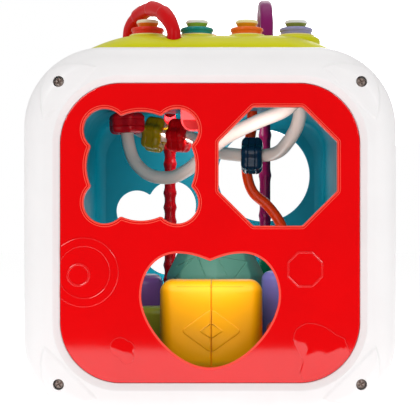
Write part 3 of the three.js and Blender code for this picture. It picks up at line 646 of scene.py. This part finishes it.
PANEL_OUTLINE = moved(square(119.5, 48.5, 24), (0, MID))
HOLES = {
    "bear": moved(bear(), BEAR), "octagon": moved(octagon(47.3), OCTAGON), "heart": moved(heart(), HEART),
}
panel = make("front_panel_face", [plate([PANEL_OUTLINE, *HOLES.values()], FACE, FACE + 3, 0.5, facing_y)])
settle(panel, PANEL_RED, "case", ["front_panel"], sharp=6)

RIMS = {  # (outwards, height over the panel) round each hole: a raised lip and a thin raised line outside it, both painted salmon as a highlight for their glossy rounded edges
    "bear": ([(0.2, -3), (0.0, 0.4), (0.25, 1.0), (0.7, 1.2), (1.1, 1.1), (1.35, 0.6), (1.35, -3)],
             [(2.15, -2), (2.15, 0.3), (2.35, 0.55), (2.65, 0.55), (2.9, 0.3), (2.9, -2)]),
    "octagon": ([(0.2, -3), (0.0, 0.4), (0.25, 1.0), (0.7, 1.2), (1.2, 1.1), (1.45, 0.6), (1.45, -3)],
                [(2.2, -2), (2.2, 0.3), (2.35, 0.5), (2.6, 0.5), (2.8, 0.3), (2.8, -2)]),
    "heart": ([(0.2, -2.9), (0.0, 0.05), (0.3, 0.3), (0.9, 0.4), (1.5, 0.3), (1.9, -0.2), (1.9, -2.9)],),
}
rims = []
for name, profiles in RIMS.items():
    for profile in profiles:
        rims.append(loft([on_y(grown(HOLES[name], out), FACE - up) for out, up in profile], closed=True))
    wall = [(0.0, 0.3), (0.0, 5.8), (1.6, 5.8), (1.6, 0.3)]
    if name != "heart":
        rims.append(loft([on_y(grown(HOLES[name], out), FACE + up) for out, up in wall], closed=True))
# The rims carry the salmon painted highlight.
settle(make("panel_rims", rims), RIM_PAINTED_HIGHLIGHT, "case", sharp=50)


def raised_disc(outline, height=0.7, edge=0.9):
    profile = [(0, 0.4), (0, -height * 0.4), (-edge * 0.4, -height * 0.85), (-edge, -height)]
    rings = [on_y(grown(outline, out), FACE + up) for out, up in profile]
    verts, faces = loft(rings)
    start = (len(rings) - 1) * len(outline)
    faces.append(tuple(range(start, start + len(outline))))
    return verts, faces


def raised_band(outer, inner, height=0.7, edge=0.6):
    rise = [(0, 0.4), (0, -height * 0.4), (edge * 0.4, -height * 0.85), (edge, -height)]
    steps = [(outer, -inset, up) for inset, up in rise] + [(inner, inset, up) for inset, up in rise[::-1]]
    return loft([on_y(grown(line, out), FACE + up) for line, out, up in steps], closed=True)


def arc_points(cx, cz, r, start, stop, count):
    return [(cx + r * math.cos(math.radians(start + (stop - start) * i / (count - 1))),
             cz + r * math.sin(math.radians(start + (stop - start) * i / (count - 1)))) for i in range(count)]


def blob(discs, count=96):
    """The outline round overlapping discs, seen from their mean centre."""
    cx = sum(d[0] for d in discs) / len(discs)
    cz = sum(d[1] for d in discs) / len(discs)
    out = []
    for i in range(count):
        turn = TURN * i / count
        r = max(ray_through(turn, x - cx, z - cz, r) for x, z, r in discs)
        out.append((cx + r * math.cos(turn), cz + r * math.sin(turn)))
    return out


def through(points, count):
    """A smooth closed outline through a few points."""
    loop = points[-2:] + points + points[:3]
    out = []
    for i in range(2, len(points) + 2):
        p = loop[i - 1:i + 3]
        for s in range(count):
            t = s / count
            out.append(tuple(0.5 * (2 * b + (c - a) * t + (2 * a - 5 * b + 4 * c - d) * t * t
                                    + (3 * b - a - 3 * c + d) * t ** 3) for a, b, c, d in zip(*p)))
    return out


reliefs = [
    raised_band(moved(ring_of(9.3), (-105, 116.4)), moved(ring_of(7.6), (-105, 116.4))),
    raised_band(moved(octagon(14.3, 1), (75.95, 120.9)), moved(octagon(12.7, 0.9), (75.95, 120.9))),
    raised_disc(blob([(-71.8, 58.8, 7.9), (-66.3, 51.3, 5.9), (-66.6, 57.6, 6.4)])),
]
outer_arc = arc_points(-100.7, 118.5, 27.8, -130.9, 130.9, 72)
inner_arc = arc_points(-100.7, 118.5, 20.5, -152.6, 152.6, 72)


def strip(outer, inner, height=0.7, edge=0.6):
    """A raised band with two open ends, between two arcs of equal count."""
    middle = [((a[0] + b[0]) / 2, (a[1] + b[1]) / 2) for a, b in zip(outer, inner)]
    sections = []
    for (ox, oz), (ix, iz), (mx, mz) in zip(outer, inner, middle):
        reach = math.hypot(ox - mx, oz - mz)
        rise = [(1, 0.4), (1, -height * 0.4), (1 - 0.4 * edge / reach, -height * 0.85),
                (1 - edge / reach, -height)]
        section = [(mx + (ox - mx) * share, FACE + up, mz + (oz - mz) * share) for share, up in rise]
        section += [(mx + (ix - mx) * share, FACE + up, mz + (iz - mz) * share) for share, up in rise[::-1]]
        sections.append(section)
    return loft(sections, caps=True)


reliefs.append(strip(outer_arc, inner_arc))
free_edge = [(73.6, 36), (73.9, 48), (69.9, 56.3), (66.7, 63.9), (68.3, 72.3), (74.7, 77.1), (81.1, 78.1),
             (90.7, 75.5), (100.3, 69.1), (106.7, 61.5)]
corner = arc_points(71, 79, 47.2, -31, -86, 24)
reliefs.append(raised_disc((free_edge[:1] + through(free_edge, 6)[0:54] + corner)[::-1]))
settle(make("panel_reliefs", reliefs), PANEL_RED, "case", sharp=12)

back_holes = [
    moved(ring_of(46.2, 96), (53.9, 207.8)),
    moved(blob([(-73.3, 172.1, 20.6), (-38.2, 178.1, 24.1), (-10, 154, 17.1), (-40.2, 135.9, 28.1),
                (-65.3, 143, 22.1), (-40, 155, 10)], 160), (0, 0)),
]
back = make("back_panel_face", [plate([PANEL_OUTLINE, *back_holes], 142, 145, 0.5, facing_y)])
settle(back, MATERIALS["teal_gloss"], "case", ["back_panel"], sharp=6)
BACK_RIM = [(0.3, -2.9), (0.0, 0.05), (0.3, 0.5), (1.0, 0.7), (1.8, 0.6), (2.3, -0.2), (2.3, -2.9)]
back_rims = []
for line in back_holes:
    back_rims.append(loft([on_y(grown(line, out), -FACE + up) for out, up in BACK_RIM], closed=True))
settle(make("back_rims", back_rims), MATERIALS["teal_gloss"], "case", sharp=50)

# ---------------------------------------------------------------- bin
TUB_RINGS = [(114.5, 32, -141.7), (114.5, 32, 20), (114.5, 32, 100), (114.5, 32, 131)]
TUB_RINGS += [(114.5 - 10 * (1 - math.cos(a)), 32, 131 + 10.4 * math.sin(a))
              for a in [math.pi / 2 * i / 8 for i in range(1, 8)]]
lining = [on_y(square(half, r, 20), y, 0, MID) for half, r, y in TUB_RINGS]
TUB_OUTSIDE = [(104.6, 32, 141.5), (117, 34.5, 141.5), (117, 34.5, -139.3), (127, 56, -139.3),
               (127, 56, -141.7)]
outside = [on_y(square(half, r, 20), y, 0, MID) for half, r, y in TUB_OUTSIDE]
tub = make("bin_lining", [loft(lining + outside, closed=True)])
SOCKETS = [(-77, 35, 5.9), (71, -111, 5.9), (-75, 92, 5.9), (77, -68, 5.9), (39.5, 55, 5), (72.5, 40, 5),
           (-38.6, 88, 6.6), (53.6, 100, 6.3)]
cutters = [block_cutter("socket", moved(ring_of(r + 0.4, 32), (x, y)), 20, 280, 'z') for x, y, r in SOCKETS]
carve(tub, *cutters)
settle(tub, MATERIALS["teal_gloss"], "case", ["inner_tub"], sharp=40)

TAB = rounded(-23.5, 5, 232.5, 268, (3, 3, 9, 9), 10)
tab = [on_y(TAB, y) for y in (-122, -137)]
tab += [on_y(grown(TAB, -d), y) for d, y in ((0.5, -137.8), (1.6, -138))]
settle(make("bracket_tab", [loft(tab, caps=True)]), MATERIALS["light_red"], "case",
       ["panel_bracket"])

# ---------------------------------------------------------------- bars, arches and posts
ROUTES = {
    "cream_tube_front": [(-77, 35, 272), (-77, 35, 262), (-77, 35, 251), (-76, 34, 236), (-70, 28, 217),
                         (-56, 15, 203.5), (-36, -4, 200), (-17.5, -32, 207), (-1.5, -60, 220.5),
                         (17, -86, 232.5), (40, -102, 242.5), (61, -109, 251), (70, -110.5, 259),
                         (71, -111, 265), (71, -111, 272)],
    "cream_tube_rear": [(-75, 92, 272), (-75, 92, 263), (-73, 85, 254), (-65, 70, 246.5), (-53, 65.5, 243.5),
                        (-41, 62, 242), (-29, 58, 242), (-17, 52.5, 239.5), (-4.5, 40, 230.5), (9, 24, 224),
                        (22, 12, 221.5), (31, 8, 220.5), (52, 4.5, 220.5), (61, -6, 222.8), (68, -28, 229.5),
                        (75, -54, 242), (77, -66, 253), (77, -68, 263), (77, -68, 272)],
    "orange_tube": [(39.5, 55, 272), (39.5, 55, 252), (37.5, 55, 237.5), (35, 55, 220.5), (35, 55, 204.5),
                    (40.5, 55, 188.5), (54.5, 54, 175.5), (65.5, 50, 160), (71, 44, 143.5), (72.5, 40, 120),
                    (72.5, 40, 80), (72.5, 40, 29)],
    "red_post": [(-38.6, 88, 272), (-38.6, 88, 29)],
    "purple_post": [(53.6, 100, 272), (53.6, 100, 29)],
    "red_arch": [(-30, -100, 296), (-30, -100, 308), (-30.4, -99.4, 318), (-37, -89, 332),
                 (-52, -58, 342.5), (-68, -29, 334), (-72, -20, 320), (-72, -20, 308), (-72, -20, 296)],
    "purple_arch": [(50, -30, 296), (50, -30, 309), (50, -30, 322), (50, -17, 345), (50, 25, 357),
                    (50, 67, 345), (50, 80, 322), (50, 80, 309), (50, 80, 296)],
    "orange_arch": [(-18, 25, 296), (-18, 25, 307), (-18, 25, 317), (-13, 25, 326), (-3, 25, 329.5),
                    (7, 25, 326), (12, 25, 317), (12, 25, 307), (12, 25, 296)],
}


def knots(every, swell, width, phase=0.0):
    """Extra radius of evenly spaced rounded knots along a bar."""
    def extra(run):
        off = (run + phase) % every
        off = min(off, every - off)
        return swell * math.exp(-(off / width) ** 2)
    return extra


red_knots, plum_knots = knots(13.9, 1.3, 3.0), knots(39, 1.0, 3.5, 12)


def overlap(run):
    """Red arch: long segments that swell towards one end and step down to the next, clear of both feet."""
    place = ((run + 6) % 27) / 27
    return 1.25 * place * smoothstep(1.0, 0.93, place) * smoothstep(20, 34, run) * smoothstep(130, 116, run)


def squared(run, a):
    """Purple arch: a soft square section, with faint ribs along its length."""
    across = abs(math.cos(a - math.pi / 4)), abs(math.sin(a - math.pi / 4))
    clear_of_feet = smoothstep(26, 34, run) * smoothstep(150, 142, run)
    corner = (across[0] ** 4 + across[1] ** 4) ** -0.25 - 1
    return 5.65 * corner * clear_of_feet + 0.12 * math.cos(run / 3.2)


RADII = {
    "cream_tube_front": (5.85, lambda run, a: 0.0),
    "cream_tube_rear": (5.85, lambda run, a: 0.0),
    "orange_tube": (4.9, lambda run, a: 0.05 * math.cos(2 * a)),
    "red_post": (5.25, lambda run, a: red_knots(run) + 0.08 * math.cos(6 * a)),
    "purple_post": (5.2, lambda run, a: plum_knots(run) + 0.1 * math.cos(6 * a)),
    "red_arch": (5.75, lambda run, a: overlap(run)),
    "purple_arch": (5.75, squared),
    "orange_arch": (4.85, lambda run, a: 0.1 * math.cos(4 * a)),
}
BAR_LOOKS = {
    "cream_tube_front": ("cream_satin", "cream_satin"), "cream_tube_rear": ("cream_satin", "cream_satin"),
    "orange_tube": ("orange_gloss", "orange_gloss"), "red_post": ("crimson_gloss", "crimson_gloss"),
    "purple_post": ("plum_gloss", "plum_gloss"), "red_arch": ("red_gloss", "red_gloss"),
    "purple_arch": ("violet_arch", "plum_gloss"), "orange_arch": ("orange_gloss", "orange_gloss"),
}
for name, route in ROUTES.items():
    base, extra = RADII[name]
    steps = 130 if "post" in name else 110
    points, length = curve_through(route, steps)
    bar = make(name + "_bar", [sweep(points, lambda run, a: base + extra(run, a), 28)])
    look, slot = BAR_LOOKS[name]
    settle(bar, MATERIALS[look], "case", [name], sharp=45)

# ---------------------------------------------------------------- beads
JOINTS = {joint["name"]: joint for joint in frame["joints"]}


def lobed_bead(turn):
    """A six-lobed bead about its own Z axis: bored through, banded round the middle, dimpled in each lobe."""
    def profile(a):
        lobe = math.cos(6 * (a + turn * math.pi / 6))
        out = 15.6 + 1.5 * lobe
        points = [(7.7, -8.6), (7.8, -9.2), (8.2, -9.5)]
        for i in range(11):
            b = math.pi / 2 * i / 10
            points.append((out - 5.4 * (1 - math.sin(b)), -4.1 - 5.4 * math.cos(b)))
        for s in (-3.6, -3.1, -2.6, 0.0):
            groove = 0.65 * math.exp(-((abs(s) - 3.1) / 0.4) ** 2)
            dimple = 0.5 * math.exp(-(s / 1.6) ** 2) * max(0, lobe) ** 2
            points.append((out + (0.25 if abs(s) < 3 else 0) - groove - dimple, s))
        return points + [(r, -s) for r, s in points[:-1][::-1]]
    sides = 96
    rings = []
    for i in range(sides):
        a = TURN * i / sides
        rings.append([(r * math.cos(a), r * math.sin(a), s) for r, s in profile(a)])
    count = len(rings[0])
    verts = [p for ring in rings for p in ring]
    faces = [(i * count + k, (i + 1) % sides * count + k, (i + 1) % sides * count + (k + 1) % count,
              i * count + (k + 1) % count) for i in range(sides) for k in range(count)]
    return verts, faces


for colour, turn in (("crimson", 0.0), ("olive", 0.5), ("red", 0.0), ("navy", 0.5)):
    joint = JOINTS[f"bead_{colour}_spin"]
    at, axis = Vector(joint["pos_m"]) / MM, Vector(joint["axis"]).normalized()
    frame_z = axis.to_track_quat('Z', 'Y').to_matrix()
    verts, faces = lobed_bead(turn)
    bead = make(f"bead_{colour}_body", [([tuple(frame_z @ Vector(v) + at) for v in verts], faces)])
    slot = "red_gloss" if colour == "red" else f"{colour}_gloss"
    settle(bead, MATERIALS[slot], f"bead_{colour}", [f"bead_{colour}"], sharp=50)

# ---------------------------------------------------------------- top deck and buttons
BUTTONS_X = [-53.5, -11.2, 31.6, 73.9]
BUTTON_Y = -60
DOOR = (-8, 62)
GRILLE = (76, 52)
FOOT_HOLES = {"red_arch": 6.3, "purple_arch": 6.2, "orange_arch": 5.2}


def dome_loop(inset, turn):
    """One level of the deck, which slopes away gently to the sides and steeply to the front and back."""
    fall = 1 - math.cos(turn)
    half_x = 113 - inset - 50 * (1 - (1 - math.sin(turn)) ** (1 / 1.6))
    half_y = 113 - inset - (40 - inset) * fall
    r = 42 - inset - (40 - inset) * fall
    return on_z(rounded(-half_x, half_x, -half_y, half_y, r, 20), 300 + (17 - inset) * math.sin(turn))


LEVELS = [math.pi / 2 * i / 18 for i in range(19)]
SKIRT = [(116.5, 45.5, 285), (116.5, 45.5, 287.7), (116.2, 45.2, 288), (113, 42, 288), (113, 42, 296)]
skirt = [on_z(square(half, r, 20), z) for half, r, z in SKIRT]
top = skirt + [dome_loop(0, turn) for turn in LEVELS]
below = [dome_loop(3, turn) for turn in LEVELS[::-2]] + [on_z(square(110, 39, 20), 285)]
verts, faces = loft(top)
low_verts, low_faces = loft(below)
count, total = len(top[0]), len(verts)
faces.append(tuple(range(total - count, total)))
low_faces.append(tuple(range(count)))
end = len(low_verts) - count
faces += [tuple(total + k for k in face) for face in low_faces]
faces += [(k, (k + 1) % count, total + end + (k + 1) % count, total + end + k) for k in range(count)]
deck = make("deck_shell", [(verts + low_verts, faces)])
cutters = [block_cutter("bore", moved(ring_of(8.2, 40), (x, BUTTON_Y)), 305, 325, 'z') for x in BUTTONS_X]
for name, r in FOOT_HOLES.items():
    for x, y, _ in (ROUTES[name][0], ROUTES[name][-1]):
        cutters.append(block_cutter("foot", moved(ring_of(r, 36), (x, y)), 290, 325, 'z'))
cutters.append(block_cutter("rebate", moved(rounded(-36.3, 36.3, -17.3, 17.3, 5), DOOR), 314.7, 325, 'z'))
cutters.append(block_cutter("door_well", moved(rounded(-33, 33, -16, 16, 2), DOOR), 308, 325, 'z'))
cutters.append(block_cutter("hole", moved(ring_of(2.2, 20), GRILLE), 305, 325, 'z'))
for i in range(6):
    a = math.pi / 3 * i
    at = (GRILLE[0] + 9 * math.cos(a), GRILLE[1] + 9 * math.sin(a))
    cutters.append(block_cutter("hole", moved(ring_of(2.2, 20), at), 295, 325, 'z'))
carve(deck, *cutters)
settle(deck, MATERIALS["lime_gloss"], "case", ["top_deck"], sharp=35)

mounds = []
for x in BUTTONS_X:
    flare = [(13, 304), (20.6, 304), (20.6, 314), (20.4, 315.2), (19.9, 316.2), (18.9, 317.0), (17.6, 317.6),
             (16.3, 318.2), (15.5, 318.9), (15.2, 319.3), (14.7, 319.55), (8.25, 319.6), (8.25, 314),
             (13, 314)]
    mounds.append(spun(flare, x, BUTTON_Y, 56))
settle(make("button_mounds", mounds), MATERIALS["lime_gloss"], "case", sharp=50)

collars = []
for name in ("purple_arch", "orange_arch"):
    r = FOOT_HOLES[name]
    for x, y, _ in (ROUTES[name][0], ROUTES[name][-1]):
        lip = [(r, 313), (r + 1.9, 313), (r + 1.9, 317.2), (r + 1.5, 317.7), (r + 0.7, 317.9), (r, 317.5)]
        collars.append(spun(lip, x, y, 40))
settle(make("arch_collars", collars), MATERIALS["lime_gloss"], "case", sharp=60)

# Thin pale rings laid on the top edge of each button mound: a painted highlight standing in for the glossy sheen
# on the mound rim.
mound_highlight_rings = []
for x in BUTTONS_X:
    highlight_profile = [(12.0, 318.4), (15.4, 318.4), (15.8, 318.8), (15.7, 319.3), (15.2, 319.75), (12.0, 319.75)]
    mound_highlight_rings.append(spun(highlight_profile, x, BUTTON_Y, 48))
settle(make("button_mound_highlights", mound_highlight_rings), MATERIALS["mound_rim_painted_highlight"], "case", sharp=60)

for i, x in enumerate(BUTTONS_X, 1):
    stem = [(0.0, 309.0), (4.0, 309.0), (9.6, 310.2), (9.6, 312.7), (7.75, 312.7), (7.75, 325.6),
            (7.9, 326.6), (8.4, 327.9), (9.1, 329.0), (9.2, 329.6), (0.0, 329.9)]
    settle(make(f"button_{i}_stem", [spun(stem, x, BUTTON_Y, 48)]), NECKS[i - 1], f"button_{i}",
           [f"button_{i}"], sharp=40)
    cap = [(0.0, 329.0), (8.6, 329.3), (9.35, 329.5), (9.6, 330.2), (9.6, 330.9), (9.3, 331.7), (8.6, 332.3),
           (7.4, 332.6), (4.0, 332.55), (0.0, 332.6)]
    settle(make(f"button_{i}_cap", [spun(cap, x, BUTTON_Y, 56)]), CAPS[i - 1], f"button_{i}",
           sharp=50)
    ring = [(8.3, 320.0), (12.4, 319.95), (12.9, 320.3), (13.1, 321.2), (13.1, 322.2), (13.3, 322.6),
            (14.0, 322.8), (14.2, 323.4), (14.2, 324.4), (13.9, 325.1), (13.2, 325.6), (12.2, 325.9),
            (11.0, 326.0), (10.3, 325.8), (8.7, 322.8), (8.3, 322.2)]
    verts, faces = spun(ring, x, BUTTON_Y, 72)
    grip = []
    for vx, vy, vz in verts:
        a = math.atan2(vy - BUTTON_Y, vx - x)
        r = math.hypot(vx - x, vy - BUTTON_Y)
        k = 1 - 0.02 * max(0, math.cos(12 * a)) ** 2 if r > 13.5 else 1
        grip.append((x + (vx - x) * k, BUTTON_Y + (vy - BUTTON_Y) * k, vz))
    slot = ("red_gloss", "teal_gloss", "orange_gloss", "lilac_gloss")[i - 1]
    settle(make(f"button_ring_{i}_band", [(grip, faces)]), RINGS[i - 1], f"button_ring_{i}",
           [f"button_ring_{i}"], sharp=40)

COIL = {"r": 7, "wire": 0.7, "low": 286.9, "high": 308.9, "turns": 3.5, "steps": 168}
for i, x in enumerate(BUTTONS_X, 1):
    coil = []
    for k in range(COIL["steps"] + 1):
        share = k / COIL["steps"]
        a = TURN * COIL["turns"] * share
        coil.append(Vector((x + COIL["r"] * math.cos(a), BUTTON_Y + COIL["r"] * math.sin(a),
                            COIL["low"] + (COIL["high"] - COIL["low"]) * share)))
    spring = make(f"button_spring_{i}_coil", [sweep(coil, lambda run, a: COIL["wire"], 8)])
    settle(spring, MATERIALS["steel"], "case", [f"button_spring_{i}"])
    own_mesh(spring)

door = [on_z(moved(rounded(-36 + d, 36 - d, -17 + d, 17 - d, 5 - d), DOOR), z)
        for d, z in ((0, 315), (0, 316.4), (0.3, 316.8), (0.8, 317))]
door_piece = make("battery_door_lid", [loft(door, caps=True)])
cutters = [block_cutter("screw_hole", moved(ring_of(3.3, 28), (DOOR[0] + 30, DOOR[1])), 314, 318, 'z')]
for k in range(5):
    at = (DOOR[0] - 20, DOOR[1] - 7 + 3.5 * k)
    cutters.append(block_cutter("grip", moved(rounded(-9, 9, -0.5, 0.5, 0.4, 4), at), 316.5, 318, 'z'))
carve(door_piece, *cutters)
settle(door_piece, MATERIALS["lime_gloss"], "case", ["battery_door"], sharp=35)

# ---------------------------------------------------------------- loose blocks
FLOOR_Z = 35.8


def block_rings(outline, low, high, r, steps=8):
    """Upright block with both rims rounded to radius r."""
    rings = []
    for i in range(steps + 1):
        a = math.pi / 2 * i / steps
        rings.append(on_z(grown(outline, -r * (1 - math.sin(a))), low + r * (1 - math.cos(a))))
    for i in range(steps + 1):
        a = math.pi / 2 * i / steps
        rings.append(on_z(grown(outline, -r * (1 - math.cos(a))), high - r * (1 - math.sin(a))))
    return rings


def add_block(name, look, x, y, top, corner, r):
    outline = rounded(x[0], x[1], y[0], y[1], corner, 12, 2)
    piece = make(f"{name}_body", [loft(block_rings(outline, FLOOR_Z, top, r), caps=True)])
    settle(piece, MATERIALS[look], name, [name], sharp=40)


add_block("orange_block", "orange_gloss", (47.5, 92), (-108, -66), 75, 12, 6)
add_block("lime_block", "lime_block", (-66, -12), (-60, -21), 86, 19, 7)
add_block("periwinkle_block", "periwinkle_gloss", (45, 97), (-58, -21), 117, 15, 8)
add_block("purple_block", "purple_gloss", (-104, -43), (-16, 46), 112.5, 22, 9)
add_block("green_block", "green_gloss", (46, 98), (56, 90), 128, 14, 7)

halves = []
for left in (True, False):
    rings = []
    for i in range(9):
        a = math.pi / 2 * i / 8
        rings.append((10 * (1 - math.sin(a)), FLOOR_Z + 10 * (1 - math.cos(a))))
    for i in range(9):
        a = math.pi / 2 * i / 8
        rings.append((10 * (1 - math.cos(a)), 111 - 10 * (1 - math.sin(a))))
    loops = []
    for inset, z in rings:
        x0, x1 = (-41.5 + inset, 0.75) if left else (1.25, 43.5 - inset)
        big, small = max(1.5, 11 - inset), 1.2
        radii = (small, big, big, small) if left else (big, small, small, big)
        loops.append(on_z(rounded(x0, x1, -112 + inset, -64 - inset, radii, 10, 2), z))
    halves.append(loft(loops, caps=True))
# A darker orange filler inside the yellow block, showing through the slit between its halves and just past the
# lower front edge: painted shade in the seam and under the front edge.
seam_shade_filler = loft([on_z(rounded(-30, 30, -110.8, -66, 3, 4), z) for z in (40, 106)], caps=True)
settle(make("yellow_block_seam_shade", [seam_shade_filler]), MATERIALS["yellow_seam_shade"], "yellow_block")
settle(make("yellow_block_body", halves), MATERIALS["yellow_gloss"], "yellow_block",
       ["yellow_block"], sharp=40)


def diamond(half_x, half_z, cx, cz, soft):
    corners = [(half_x, 0), (0, half_z), (-half_x, 0), (0, -half_z)]
    out = []
    for i, (u, v) in enumerate(corners):
        (pu, pv), (nu, nv) = corners[i - 1], corners[(i + 1) % 4]
        back = Vector((pu - u, pv - v)).normalized() * soft
        ahead = Vector((nu - u, nv - v)).normalized() * soft
        for k in range(7):
            t = k / 6
            p = (1 - t) ** 2 * back + t ** 2 * ahead
            out.append((cx + u + p.x, cz + v + p.y))
    return out


def half_of(points, side):
    """The part of a diamond on one side of the seam."""
    seam = 1 + side * 0.35
    kept_points = [(u, v) for u, v in points if (u - seam) * side > 0]
    start = min(range(len(kept_points)), key=lambda i: kept_points[i][1] * side)
    loop = kept_points[start:] + kept_points[:start]
    return [(seam, loop[0][1])] + loop + [(seam, loop[-1][1])]


diamonds = []
for side in (1, -1):
    for half_x, half_z, soft, base, height in ((25.5, 18.5, 5, 0.0, 0.55), (10.3, 7.1, 2, 0.5, 0.5)):
        line = half_of(diamond(half_x, half_z, 1, 69.6, soft), side)
        steps = [(0, 0.4 - base), (0, -base - 0.1), (-0.35, -base - height * 0.75), (-0.9, -base - height)]
        rings = [on_y(grown(line, out), -112 + up) for out, up in steps]
        verts, faces = loft(rings)
        faces.append(tuple(range(len(verts) - len(line), len(verts))))
        diamonds.append((verts, faces))
settle(make("yellow_block_diamonds", diamonds), MATERIALS["yellow_gloss"], "yellow_block",
       sharp=50)

hull = bmesh.new()
for z, rx, ry in ((36.2, 26, 20), (52, 38, 30), (112, 45, 33), (134, 34, 24)):
    for i in range(8):
        a = TURN * i / 8
        hull.verts.new(((5 + rx * math.cos(a)) * MM, (17 + ry * math.sin(a)) * MM, z * MM))
bmesh.ops.convex_hull(hull, input=hull.verts)
mesh = bpy.data.meshes.new("mint_block_body")
hull.to_mesh(mesh)
hull.free()
mint = bpy.data.objects.new("mint_block_body", mesh)
scene.collection.objects.link(mint)
soften = mint.modifiers.new("soften", 'BEVEL')
soften.width = 1.6 * MM
soften.segments = 3
soften.limit_method = 'ANGLE'
soften.angle_limit = math.radians(12)
bake(mint)
faces = [tuple(polygon.vertices) for polygon in mint.data.polygons]
surface = BVHTree.FromPolygons([vertex.co.copy() for vertex in mint.data.vertices], faces)


def groove(start, stop):
    """A narrow bar laid along the front of the mint block, to cut a seam with."""
    points = []
    for i in range(13):
        x, z = (start[j] + (stop[j] - start[j]) * i / 12 for j in (0, 1))
        hit = surface.ray_cast(Vector((x, -60, z)) * MM, Vector((0, 1, 0)))[0]
        points.append(hit / MM)
    return make("groove", [sweep(points, lambda run, a: 0.75, 10)])


SEAMS = [((-12.8, 132), (-2.7, 108)), ((8, 126), (16.8, 108)), ((11.2, 128), (33, 124)),
         ((33, 124), (20.8, 108)), ((-30, 120), (-14, 128)), ((-33, 108), (-14, 128))]
carve(mint, *(groove(start, stop) for start, stop in SEAMS))
settle(mint, MATERIALS["mint_gloss"], "mint_block", ["mint_block"], sharp=20)

# ---------------------------------------------------------------- pieces kept from the CAD
kept = {s["node"]: s["material_slot"] for s in frame["record"]["subparts"]}
for node, obj in frame["nodes"].items():
    obj.data.materials.clear()
    obj.data.materials.append(MATERIALS[kept[node]])
    if kept[node] != "steel" and "battery" not in node and "board" not in node:
        soften = obj.modifiers.new("soften", 'BEVEL')
        soften.width = 0.5 * MM
        soften.segments = 2
        soften.limit_method = 'ANGLE'
        soften.angle_limit = math.radians(38)
